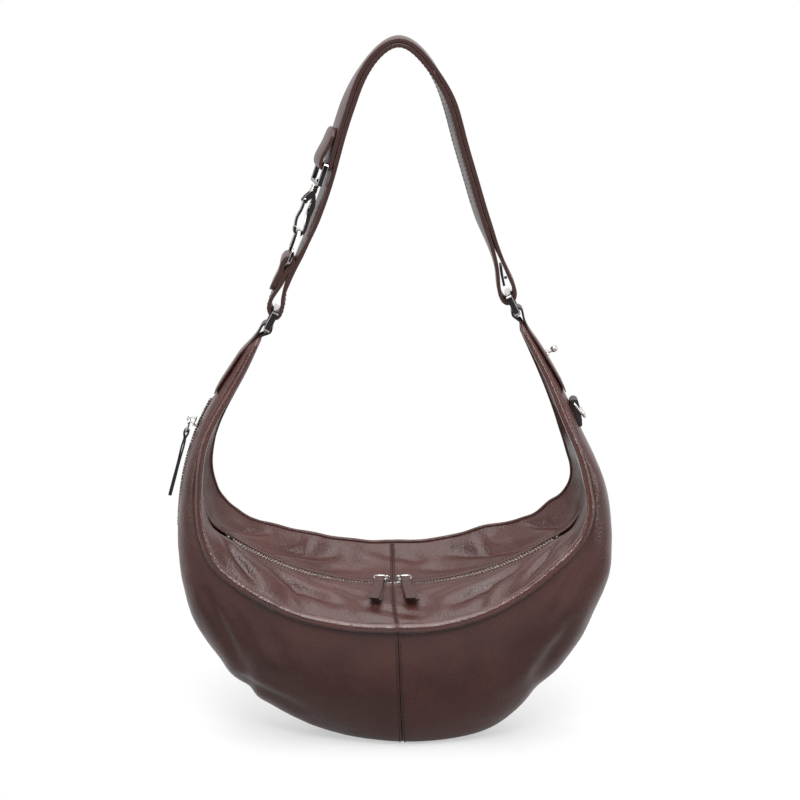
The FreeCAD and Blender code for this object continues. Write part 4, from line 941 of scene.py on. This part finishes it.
class BAG_OT_stitching(bpy.types.Operator):
    """Twin stitch rows beside the centre seams and single rows along the zip"""

    bl_idname = "bag.stitching"
    bl_label = "Stitching"

    row_station = 0.046          # a row's distance from the seam
    cord_radius = 0.50

    def execute(self, context):
        body = Body()
        pitch = mm("stitch_pitch")
        shares = np.linspace(0.05, 0.97, 60)
        stations = np.linspace(0.12, 4.6, 160)
        for where, front in FACES:
            seams, edges = [], []
            for _, side in SIDES:
                for kind in ("panel", "gusset"):
                    rows = body.hide([side * self.row_station], shares, kind, front)
                    seams.append(stitch_row(*[row[0] for row in rows], pitch, 2.3, 0.50, 0.15))
                    if side > 0:
                        points, normals = (row[0] for row in body.hide([0.0], shares, kind, front))
                        cord = round_section(self.cord_radius, 6)
                        seams.append(sweep(points + normals * 0.10, cord, (1, 0, 0)))
                rows = body.hide(side * stations, [0.06], "gusset", front)
                edges.append(stitch_row(*[row[:, 0] for row in rows], pitch, 2.4, 0.32, 0.2))
            for name, shapes in (("_centre_stitches", seams), ("_zip_stitches", edges)):
                finish(where + name, joined(*shapes), "thread", "bag", None, 80)
        return {"FINISHED"}


def finish_sheet(name, shape, kind, node, thickness):
    """Cloth of the bag with its thickness."""
    piece = finish(name, shape, kind, "bag", node, 80)
    piece.modifiers.new("thickness", "SOLIDIFY").thickness = thickness * MM


class BAG_OT_lining(bpy.types.Operator):
    """Lining cloth with its pockets, inside the pouch"""

    bl_idname = "bag.lining"
    bl_label = "Lining"

    # Node, whether it is in front, its stations and shares of a panel, and its depth under the hide.
    cloths = (
        ("lining_front", True, (-5.4, 5.4), (0.0, 0.93), 3.4),
        ("lining_back", False, (-5.4, 5.4), (0.0, 0.93), 3.4),
        ("inner_pocket", False, (-1.8, 1.8), (0.35, 0.85), 4.8),
        ("side_pocket", False, (-5.6, -8.6), (0.03, 0.60), 3.2))

    def execute(self, context):
        body = Body()
        for node, front, ends, edges, depth in self.cloths:
            lie = np.linspace(*ends, 60), np.linspace(*edges, 24), "panel", front
            points, normals = body.surface(*lie), body.outwards(*lie)
            points = points - normals * (depth + 0.35 * soft(points, 18, 6.0))[..., None]
            finish_sheet(node + "_cloth", grid(points), "lining_cloth", node, 0.5)
        return {"FINISHED"}


def tooth(size, width, height):
    """One zip tooth: a rounded block with a narrower head."""
    shape = block((-size / 2, -width / 2, -height / 2), (size / 2, width / 2, height / 2), 0.28, 1)
    return placed(shape, lambda v: np.array((v[0] * (1 - 0.18 * np.sign(v[1])), v[1], v[2])))


class BAG_OT_main_zip(bpy.types.Operator):
    """Woven tapes, rows of teeth, closed chain and end stops of the main zip"""

    bl_idname = "bag.main_zip"
    bl_label = "Main zip"

    tape_drop = 2.0
    chain_drop = 2.3
    # Distance from the zip's middle and drop of a tape's lines: a bead at its edge, then the sewn web.
    tape_rows = ((2.5, 0.25), (2.9, -0.15), (3.6, 0.0), (5.0, 0.35), (7.0, 0.6), (9.4, 0.8))

    def execute(self, context):
        body = Body()
        angles = np.linspace(-ZIP_STOP_ANGLE - 0.3, ZIP_STOP_ANGLE + 0.3, 180)
        for name, side in (("front", -1), ("back", 1)):
            points = np.array([[body.zip_point(a, self.tape_drop + drop, side * y)
                                for y, drop in self.tape_rows] for a in angles])
            node = "zip_tape_" + name
            finish_sheet(node + "_weave", grid(points), "zip_cloth", node, 0.7)
        self.open_rows(body)
        for name, side in SIDES:
            self.chain(body, name, side)
        stop = block((-1.2, -2.1, -1.1), (1.2, 2.1, 1.1), 0.4)
        stops = [self.on_arc(body, stop, side * (ZIP_STOP_ANGLE - 0.3)) for side in (-1, 1)]
        finish("zip_end_stop_pair", joined(*stops), "tooth_metal", "bag", "zip_end_stops", 50)
        return {"FINISHED"}

    def on_arc(self, body, shape, angle):
        centre = body.zip_centre
        drop = body.zip_radius + self.chain_drop
        return placed(shape, lambda v: turn_y(centre + (v[0], v[1], v[2] - drop), angle, centre))

    def tooth_angles(self, body, row):
        """Places of one row's teeth; the rows are half a pitch apart."""
        pitch = math.degrees(mm("tooth_pitch") / body.zip_radius)
        count = int((ZIP_STOP_ANGLE - 0.8) / pitch)
        return [(i + (0.5 if row > 0 else 0.0)) * pitch for i in range(-count, count)]

    def open_rows(self, body):
        """Tooth roots held by the tape edges, seen where the zip is open."""
        shapes = []
        for row in (-1, 1):
            root = placed(tooth(1.3, 1.3, 1.8), lambda v: v + np.array((0, row * 2.9, -0.1)))
            shapes += [self.on_arc(body, root, a) for a in self.tooth_angles(body, row)]
        finish("zip_tooth_roots", joined(*shapes), "tooth_metal", "bag", None, 50)

    def chain(self, body, name, side):
        """Meshed teeth from beside the slider's rest place to the stop."""
        start, end = ZIP_REST_ANGLE + 0.7, ZIP_STOP_ANGLE - 0.75
        shapes = []
        for row, reach, drop in ((-1, 3.2, 0.0), (1, 2.0, 0.9)):
            middle = np.array((0, row * (3.0 - reach / 2), -drop))
            one = placed(tooth(1.5, reach, 2.1), lambda v: middle + v * (1, -row, 1))
            shapes += [self.on_arc(body, one, a) for a in self.tooth_angles(body, row)
                       if start < -side * a < end]
        node = "zip_chain_" + name
        piece = finish(node + "_teeth", joined(*shapes), "tooth_metal", None, node, 50)
        near, far = (tuple(body.zip_point(-side * a) * MM) for a in (start, end))
        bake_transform(piece)


LINK_LENGTH = 12.5
LINK_HALF_WIDTH = 5.2
LINK_WIRE = 1.2


def slider_shape(roof, floor, eye):
    """Zip slider, nose towards -X: two shield plates, a wedge between them and an arched crown."""
    half = [(-4.5, 2.4), (-3.3, 4.0), (-1.1, 4.25), (1.5, 3.6), (4.6, 3.2)]
    outline = [(-4.8, 0.0)] + half + [(4.8, 0.0)] + [(x, -y) for x, y in half[::-1]]
    plates = [slab(outline, [(low, 0.93), (low + 0.35, 1.0), (low + 1.15, 1.0), (low + 1.5, 0.93)])
              for low in (roof, floor - 1.5)]
    neck = block((-4.5, -1.0, floor - 0.5), (-2.6, 1.0, roof + 0.5), 0.4)
    arch = smooth_path([(-2.4, 0, roof + 1.0), (-2.3, 0, eye), (-1.4, 0, eye + 1.9), (0, 0, eye + 2.35),
                        (1.4, 0, eye + 1.9), (2.3, 0, eye), (2.4, 0, roof + 1.0)], 0.5)
    return joined(*plates, neck, sweep(arch, rounded_section(2.3, 1.1, 0.4)))


def link_shape():
    """Wire link lying along +X, its near bar on the Y axis."""
    far, half = LINK_LENGTH, LINK_HALF_WIDTH
    loop = round_corners([(0, -half, 0), (far, -half, 0), (far, half, 0), (0, half, 0)], 4.9)
    return sweep(loop, round_section(LINK_WIRE), (0, 0, 1), closed=True)


def pull_shape(size, width, gap, fan):
    """Leather strip folded over a wire at the origin, hanging along -Z; its under layer fans out."""
    sheet = 1.6
    loop = LINK_WIRE + sheet / 2
    lay = (sheet + gap) / 2
    half = [(lay, 0, -size), (lay, 0, -size * 0.7), (lay, 0, -size * 0.4), (lay, 0, -5.0 * loop),
            (lay, 0, -2.6 * loop), (loop, 0, -loop * 0.5), (loop * 0.72, 0, loop * 0.70)]
    route = smooth_path([(-x, y, z) for x, y, z in half] + [(0, 0, loop)] + half[::-1], 0.8)
    scales = [(1 - 0.12 * hump(-p[2] / size - 0.12, 0.14), 1.0) for p in route]
    strip = sweep(route, rounded_section(width, sheet, 0.35), scales=scales)

    def spread(v):
        under = 1.0 if v[0] > 0 else 0.0
        return np.array((v[0], v[1] - fan * under * smooth_step(-v[2] / size, 0.1, 1.0), v[2]))
    return placed(strip, spread)


def paint(piece, kind, facing, least, above=0.0):
    """Faces turned along one of the given directions take another material."""
    piece.data.materials.append(material(kind))
    for face in piece.data.polygons:
        turned = max(abs(face.normal.dot(Vector(way))) for way in facing)
        if turned > least and face.center.z > above:
            face.material_index = 1


def finish_pull(name, shape, rides, node, facing):
    """Pull with black painted edges."""
    paint(finish(name, shape, "strap_leather", rides, node, 40), "black_edge", facing, 0.6)


class BAG_OT_main_sliders(bpy.types.Operator):
    """Both main sliders with their links and leather pulls"""

    bl_idname = "bag.main_sliders"
    bl_label = "Main sliders"

    eye = 4.6
    splay = 7.5
    slope = 10.5
    pull_length, pull_width, pull_gap = 38.5, 9.2, 0.3
    fans = {"left": -2.0, "right": 3.6}      # how far the under layer of a pull turns aside

    def execute(self, context):
        body = Body()
        link = placed(link_shape(), lambda v: v + np.array((0, 0, self.eye)))
        for name, side in SIDES:
            shape = self.set_on(body, slider_shape(-0.9, -3.9, self.eye), side, 0.0)
            finish(f"slider_{name}_body", shape, "nickel", name + "_slider", "slider_" + name)
            shape = self.set_on(body, link, side, self.splay)
            node = "pull_link_" + name
            finish(node + "_wire", shape, "nickel", name + "_link", node)
            strip = pull_shape(self.pull_length, self.pull_width, self.pull_gap, self.fans[name])
            shape = self.set_on(body, placed(strip, self.lie), side, self.splay)
            t = math.radians(side * self.splay)
            ways = [(math.cos(t), math.sin(t), 0), (-math.sin(t), math.cos(t), 0)]
            finish_pull(f"pull_tab_{name}_strip", shape, name + "_pull", "pull_tab_" + name, ways)
        return {"FINISHED"}

    def lie(self, v):
        """From hanging to lying forwards off the link's front bar."""
        x, y, z = v
        t = math.radians(-90 + self.slope)
        b, c = x * math.cos(t) - z * math.sin(t), x * math.sin(t) + z * math.cos(t)
        return np.array((LINK_LENGTH / 2 - y, b - LINK_HALF_WIDTH, c + self.eye))

    def set_on(self, body, shape, side, splay):
        t = math.radians(splay)

        def put(v):
            x, y = v[0] * math.cos(t) - v[1] * math.sin(t), v[0] * math.sin(t) + v[1] * math.cos(t)
            p = body.zip_centre + np.array((side * x, y, v[2] - body.zip_radius))
            return turn_y(p, -side * ZIP_REST_ANGLE, body.zip_centre)
        return placed(shape, put)


class BAG_OT_side_zip(bpy.types.Operator):
    """Pocket zip on the left horn with its slider, link and long pull"""

    bl_idname = "bag.side_zip"
    bl_label = "Side zip"

    centre = np.array((47.05, 7.134, 204.874))   # of the arc that the slider runs on
    face = 256.505                               # arc's radius at the tape
    rest = 23.562                                # degrees round the arc
    eye = 9.2
    lean = 15.5
    pull_length, pull_width = 64.0, 7.4

    def execute(self, context):
        body = Body()
        lie = np.linspace(-6.9, -9.55, 60), np.linspace(0.03, 0.27, 9), "panel", False
        points = body.surface(*lie) + body.outwards(*lie) * 0.4
        finish_sheet("side_zip_tape_weave", grid(points), "zip_cloth", "side_zip_tape", 0.5)
        self.teeth(body)
        shape = placed(slider_shape(3.3, 1.7, self.eye), self.set_on)
        finish("side_slider_body", shape, "nickel", "pocket_slider", "side_slider")
        eye = self.set_on((0, 0, self.eye))
        hang = placed(link_shape(), lambda v: turn_y((-v[2], v[1], -v[0]), self.lean) + eye)
        finish("side_link_wire", hang, "nickel", "pocket_link", "side_link")
        bar = eye + turn_y((0, 0, -LINK_LENGTH), self.lean)
        strip = pull_shape(self.pull_length, self.pull_width, 0.0, 0.0)
        finish_pull("side_pull_strip", placed(strip, lambda v: turn_y(v, self.lean) + bar), "pocket_pull",
                    "side_pull", [(0, 1, 0), turn_y((0, 0, 1), self.lean)])
        return {"FINISHED"}

    def set_on(self, v):
        """Out of the horn along +Z and up it along +X, set at the slider's place."""
        p = self.centre + np.array((-self.face - v[2], v[1], v[0]))
        return turn_y(p, self.rest, self.centre)

    def teeth(self, body):
        pitch = mm("tooth_pitch") / 2
        lie = np.linspace(-7.0, -9.5, 400), [0.15], "panel", False
        line, outs = body.surface(*lie)[:, 0], body.outwards(*lie)[:, 0]
        at = walked(line)
        shapes = []
        for i in range(1, len(line)):
            if at[i] < len(shapes) * pitch:
                continue
            along = unit(line[i] - line[i - 1])
            across = np.cross(outs[i], along) * (1 if len(shapes) % 2 else -1)
            shapes.append(placed(tooth(1.2, 3.2, 1.7), lambda v: line[i] + outs[i] * (1.5 + v[2])
                                 + along * v[0] + across * (v[1] - 0.45)))
        piece = finish("side_zip_chain_teeth", joined(*shapes), "tooth_metal", None,
                       "side_zip_chain", 50)
        low, high = (tuple(self.set_on((x, 0, 0)) * MM) for x in (-90, -7))
        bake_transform(piece)


def leaned(v):
    """Strap and its hardware turn a little to the left towards the back, above the rings."""
    amount = smooth_step(v[2], 445, 505) * (1 - smooth_step(v[2], 600, 652))
    return np.array((v[0] - bpy.context.scene.bag_sizes.strap_lean * amount * v[1], v[1], v[2]))


def flat(points):
    return [np.array((x, 0.0, z)) for x, z in points]


def layer(points, shift):
    """One layer of the doubled strap, outwards by shift."""
    pts = flat(points)
    out = []
    for i, p in enumerate(pts):
        along = unit(pts[min(i + 1, len(pts) - 1)] - pts[max(i - 1, 0)])
        out.append(p + np.array((-along[2], 0, along[0])) * shift)
    return out


class BAG_OT_strap(bpy.types.Operator):
    """Doubled leather strap with painted edges and stitch rows, and its keeper"""

    bl_idname = "bag.strap"
    bl_label = "Strap"

    spacing = 2.0
    end_round = 8.0              # length over which the strap's ends are rounded
    keeper_width, keeper_leather = 20, 2.2
    stud_radius, stud_place = 1.5, (96.8, 0, 447.0)

    def execute(self, context):
        wide, thick = mm("strap_width"), mm("strap_leather")
        outside = layer(ARCH, STRAP_PITCH / 2)[3:]
        inside = layer(ARCH, -STRAP_PITCH / 2)[::-1]
        route = smooth_path(flat(HOOK_LOOP) + outside + flat(RIGHT_LOOP) + inside + flat(LEFT_LOOP),
                            self.spacing)
        scales = [self.scale(i, p, len(route)) for i, p in enumerate(route)]
        strip = placed(sweep(route, rounded_section(wide, thick, 0.8), scales=scales), leaned)
        piece = finish("shoulder_strap_hide", strip, "strap_leather", "strap",
                       "shoulder_strap", 50)
        paint(piece, "strap_edge", [(0, 1, 0)], 0.75)
        self.stitches(route, wide, thick)
        keeper = sweep(smooth_path(flat(KEEPER), 1.0),
                       rounded_section(self.keeper_width, self.keeper_leather, 0.7))
        finish("keeper_tab_hide", keeper, "black_edge", "strap", "keeper_tab", 50)
        stud = lathe(ball_profile(self.stud_radius, 0.0), self.stud_place, (1, 0, 0), 14)
        finish("strap_stud_ball", stud, "nickel", "strap", "strap_stud", 60)
        return {"FINISHED"}

    def scale(self, i, p, count):
        """Width and thickness of the strap at a point of its route."""
        ends = min(i, count - 1 - i) * self.spacing
        rest = (self.end_round - ends) / (self.end_round * 1.05)
        round_end = math.sqrt(max(1 - rest ** 2, 0)) if ends < self.end_round else 1.0
        # Where the layers lie on each other they close up, most of all under the hook.
        full = 1 + 0.20 * smooth_step(p[2], 480, 500) * smooth_step(i, 26, 34)
        if p[0] < -60:
            full += 0.42 * smooth_step(p[2], 432, 446) * (1 - smooth_step(p[2], 466, 490))
        return round_end, full

    def stitches(self, route, wide, thick):
        """Rows on the inner face of the arch and down both arms, sunk into the leather."""
        shapes = []
        for edge in (-1, 1):
            points, normals = [], []
            for i in range(len(route) // 2, len(route) - 1):
                along = unit(route[i + 1] - route[i - 1])
                out = np.array((-along[2], 0, along[0]))
                full = 1 + 0.20 * smooth_step(route[i][2], 480, 500)
                at = route[i] + out * (thick * full / 2) + np.array((0, edge * (wide / 2 - 3.0), 0))
                points.append(leaned(at))
                normals.append(out)
            shapes.append(stitch_row(points, normals, 4.2, 2.8, 0.35, 0.25))
        finish("strap_stitches", joined(*shapes), "thread", "strap", None, 80)


class BAG_OT_rings(bpy.types.Operator):
    """Rings that join the strap to the horns, the hook's eye and the tip ring"""

    bl_idname = "bag.rings"
    bl_label = "Rings"

    half_width = 17.5
    # Node, its upper bar's centre, turn in degrees, height and width of the flat bar.
    square = (
        ("ring_left", (-113.8, 0, 417.0), 27.5, 18.0, 6.0),
        ("ring_right", (99.2, 0, 432.2), -26.5, 18.0, 5.4),
        ("hook_eye", (-69.7, 0, 552.8), 19.0, 19.0, 4.6))
    tip_foot = np.array((-102.1, 0, 463.2))
    tip_reach = 46.9             # hook's foot down to where the tip ring hangs in its bow
    tip_wide, tip_narrow = np.array((0, 17.6, 0)), np.array((0, 7.4, 0))

    def execute(self, context):
        for node, top, turn, far, bar in self.square:
            shape = placed(self.square_ring(far, bar), lambda v: turn_y(v, turn) + np.array(top))
            self.ring(node, shape, turn)
        self.ring("tip_ring", self.tip_ring(), 20.0)
        return {"FINISHED"}

    def ring(self, node, shape, turn):
        piece = finish(node + "_metal", placed(shape, leaned), "nickel", "strap", node, 20)
        # Painted light: flat faces take a painted dark reflection, and the rounded edges stay bright nickel
        # as painted edge highlights on one polished metal.
        paint(piece, "dark_nickel", [turn_y((1, 0, 0), turn), (0, 1, 0)], 0.92)

    def square_ring(self, far, bar):
        """Ring of flat bar hanging from its upper bar's centre."""
        half = self.half_width
        loop = round_corners([(0, -half, 0), (0, half, 0), (0, half, -far), (0, -half, -far)], 2.0)
        return sweep(loop, rounded_section(bar, 3.0, 0.5, 1), (1, 0, 0), closed=True)

    def tip_ring(self):
        """Ring that narrows to the hook."""
        hooked = HOOK_FOOT + turn_y((0, 0, -self.tip_reach), HOOK_TURN)
        foot, wide, narrow = self.tip_foot, self.tip_wide, self.tip_narrow
        knee = foot + (hooked - foot) * 0.36
        corners = [hooked - narrow, hooked + narrow, knee + wide, foot + wide, foot - wide, knee - wide]
        bar = rounded_section(3.2, 2.8, 0.55, 1)
        return sweep(round_corners(corners, 3.0), bar, (1, 0, 0.36), closed=True)


class BAG_OT_snap_hook(bpy.types.Operator):
    """Swivel snap hook with its sprung gate and pin"""

    bl_idname = "bag.snap_hook"
    bl_label = "Snap hook"

    bow = 4.6                    # half width of the bow
    neck = -10.4                 # height at which the spine leaves the barrel
    pin_height = -19.2
    # Radius and height up the swivel: head, shaft and barrel.
    barrel = [
        (1.2, 3.6), (2.3, 3.5), (2.4, 2.6), (1.9, 2.2), (1.2, 2.1), (1.2, -2.3), (2.6, -2.5), (3.4, -3.4),
        (3.4, -4.6), (3.0, -5.0), (3.0, -5.6), (3.4, -6.0), (3.4, -9.4), (2.6, -11.0)]
    cheek = [
        (0.0, -7.2), (-2.6, -9.2), (-6.2, -16.0), (-6.5, -19.2), (-5.8, -20.8), (-4.0, -21.0), (-1.0, -17.0),
        (0.6, -13.6)]
    pin = [(0.9, -4.0), (0.9, 4.1), (2.3, 4.2), (2.4, 4.9), (1.8, 5.5), (0.6, 5.6)]

    def execute(self, context):
        bow, neck = self.bow, self.neck
        route = smooth_path([(0, 0, neck + 1.6), (2.0, 0, neck - 3.2), (bow - 1.2, 0, neck - 10.1),
                             (bow - 1.3, 0, -32.0), (bow, 0, -44.8), (3.25, 0, -49.05), (0, 0, -50.4),
                             (-3.25, 0, -49.05), (-bow, 0, -46.0), (-bow, 0, -44.6)], 0.7)
        scales = [(1.0, 1.0 + 0.9 * hump(p[2] + 26, 12)) for p in route]
        spine = sweep(route, rounded_section(4.6, 3.0, 0.5, 1), scales=scales)
        barrel = lathe(self.barrel, (0, 0, 0), (0, 0, 1), 24)
        cheeks = [placed(slab(self.cheek, [(y - 0.7, 1.0), (y + 0.7, 1.0)]), lambda v: v[[0, 2, 1]])
                  for y in (-3.5, 3.5)]
        web = block((-1.8, -4.1, neck - 3.0), (1.8, 4.1, neck + 3.2), 0.8)
        self.piece("hook_body_metal", joined(spine, barrel, web, *cheeks), "hook_body", "snap_hook")
        route = smooth_path([(-bow, 0, -17.9), (-bow, 0, self.pin_height), (-bow, 0, -28.0),
                             (-bow - 1.2, 0, -36.2), (-bow, 0, -44.0)], 0.7)
        lever = sweep(route, rounded_section(4.4, 2.6, 0.5, 1))
        self.piece("hook_gate_lever", lever, "hook_gate", "hook_lever")
        pin = joined(*[lathe(self.pin, (-bow, 0, self.pin_height), (0, way, 0), 18) for way in (-1, 1)])
        self.piece("hook_gate_rivet", pin, "hook_gate_pin", "snap_hook")
        return {"FINISHED"}

    def piece(self, name, shape, node, rides):
        shape = placed(shape, lambda v: leaned(turn_y(v, HOOK_TURN) + HOOK_FOOT))
        # Painted light: faces turned to the front and back take a painted dark reflection, and the other
        # faces stay bright nickel as painted highlights.
        paint(finish(name, shape, "nickel", rides, node, 20), "dark_nickel", [(0, 1, 0)], 0.9)


class BAG_OT_horn_tabs(bpy.types.Operator):
    """Leather tabs that hold the rings on the horn tips"""

    bl_idname = "bag.horn_tabs"
    bl_label = "Horn tabs"

    first = {"left": 9.75, "right": 9.88}    # station of a tab's lower end
    width, thickness = 24.0, 1.9
    loop = 4.8                               # radius round the ring's bar
    neck = 9.0                               # loop's centre down to the neck

    def execute(self, context):
        body = Body()
        for name, side in SIDES:
            foot, tip = np.array(RING_FEET[name]), body.outer_line(side * LAST_STATION)
            route = smooth_path(self.route(body, side, self.first[name], foot, tip), 1.2)
            scales = [(1 - 0.30 * smooth_step(i / len(route), 0.30, 0.6), 0.45 + 0.55 * smooth_step(i, 0, 8))
                      for i in range(len(route))]
            shape = sweep(route, rounded_section(self.width, self.thickness, 0.6), scales=scales)
            node = "horn_tab_" + name
            piece = finish(node + "_hide", shape, "strap_leather", None, node, 50)
            paint(piece, "black_edge", [(0, 1, 0)], 0.7, (tip[2] + 4) * MM)
            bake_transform(piece)
        return {"FINISHED"}

    def route(self, body, side, first, foot, tip):
        """Up the horn's outer face, round the ring and back down behind it."""
        points = [body.outer_line(side * u) + body.out(side * u) * 1.2 for u in np.linspace(first, 10.75, 5)]
        rise = unit(foot - tip)
        out = np.array((side * abs(rise[2]), 0, -side * rise[0]))
        middle = foot - rise * 1.0
        points.append(middle - rise * self.neck + out * 1.9)
        for angle in (-28, 0, 30, 60, 90, 120, 150, 180, 208):
            a = math.radians(angle)
            points.append(middle + out * self.loop * math.cos(a) + rise * self.loop * math.sin(a))
        return points + [middle - rise * self.neck - out * 1.9, middle - rise * 16.0 - out * 4.0]


class BAG_OT_horn_hardware(bpy.types.Operator):
    """Ball stud, anchor tab and D-ring on the right horn"""

    bl_idname = "bag.horn_hardware"
    bl_label = "Horn hardware"

    stud_station, stud_lift = 10.55, 3.15
    stud_foot = [(0.3, 0), (3.0, 0.05), (3.2, 0.5), (2.9, 1.0), (1.7, 1.2), (1.6, 4.6)]
    anchor_station, anchor_lift = 9.45, -0.7
    ring_seat = np.array((-9.3, 0, 4.2))
    ring_half = 9.7

    def execute(self, context):
        body = Body()
        self.set_at(body, self.stud_station, self.stud_lift)
        stud = lathe(self.stud_foot + ball_profile(3.4, 7.7, 10)[2:], (0, 0, 0), (0, 0, 1), 20)
        self.piece("horn_stud_ball", stud, "nickel", "dark_metal", "horn_stud", "bag")
        self.set_at(body, self.anchor_station, self.anchor_lift)
        self.piece("anchor_tab_stack", self.wedge(), "black_edge", "bag_leather", "anchor_tab", "bag")
        seat, half = self.ring_seat, self.ring_half
        corners = [seat - (0, half, 0), seat + (0, half, 0), seat + (10.2, half, 2.6),
                   seat + (17, half * 0.5, 3.9), seat + (17, -half * 0.5, 3.9), seat + (10.2, -half, 2.6)]
        ring = sweep(round_corners(corners, 2.4), round_section(1.3), (0, 0, 1), closed=True)
        self.piece("anchor_ring_wire", ring, "nickel", "dark_metal", "anchor_ring", "d_ring")
        return {"FINISHED"}

    def set_at(self, body, u, lift):
        out = body.out(u)
        self.origin = body.outer_line(u) + out * lift
        self.axes = np.cross((0, 1, 0), out), np.array((0, 1, 0)), out

    def wedge(self):
        """Tapered stack of leather with a rounded head round the ring."""
        turns = np.linspace(0.5, 1.5, 14) * math.pi
        head = [(-9.3 + 4.2 * math.cos(a), 1.2 + 4.2 * math.sin(a)) for a in turns]
        outline = [(13.5, -2.9), (13.9, -1.8), (13.2, -0.2), (8.0, 1.8), (0.0, 3.6), (-6.0, 4.9)]
        levels = [(-7.5, 0.94), (-7.0, 1.0), (7.0, 1.0), (7.5, 0.94)]
        shape = slab(outline + head + [(0.0, -3.0)], levels)
        return placed(shape, lambda v: np.array((v[0], v[2], v[1] + 3.0)))

    def piece(self, name, shape, kind, slot_name, node, rides):
        x, y, z = self.axes
        shape = placed(shape, lambda v: self.origin + x * v[0] + y * v[1] + z * v[2])
        finish(name, shape, kind, rides, node)


class BAG_PT_panel(bpy.types.Panel):
    """Builds the bag's pieces one group at a time"""

    bl_idname = "BAG_PT_panel"
    bl_label = "Half moon bag"
    bl_space_type = "VIEW_3D"
    bl_region_type = "UI"
    bl_category = "Bag"

    def draw(self, context):
        for operator in OPERATORS:
            self.layout.operator(operator.bl_idname)
        for group in (context.scene.bag_sizes, context.scene.bag_colours):
            for name in type(group).__annotations__:
                self.layout.prop(group, name)


OPERATORS = (
    BAG_OT_stage, BAG_OT_leather_body, BAG_OT_rolled_edges, BAG_OT_stitching, BAG_OT_lining, BAG_OT_main_zip,
    BAG_OT_main_sliders, BAG_OT_side_zip, BAG_OT_strap, BAG_OT_rings, BAG_OT_snap_hook, BAG_OT_horn_tabs,
    BAG_OT_horn_hardware)
CLASSES = (BagSizes, BagColours) + OPERATORS + (BAG_PT_panel,)


def register():
    for item in CLASSES:
        bpy.utils.register_class(item)
    bpy.types.Scene.bag_sizes = bpy.props.PointerProperty(type=BagSizes)
    bpy.types.Scene.bag_colours = bpy.props.PointerProperty(type=BagColours)


def unregister():
    del bpy.types.Scene.bag_sizes
    del bpy.types.Scene.bag_colours
    for item in reversed(CLASSES):
        bpy.utils.unregister_class(item)


def main():
    register()
    for operator in OPERATORS:
        group, name = operator.bl_idname.split(".")
        getattr(getattr(bpy.ops, group), name)()


if __name__ == "__main__":
    main()
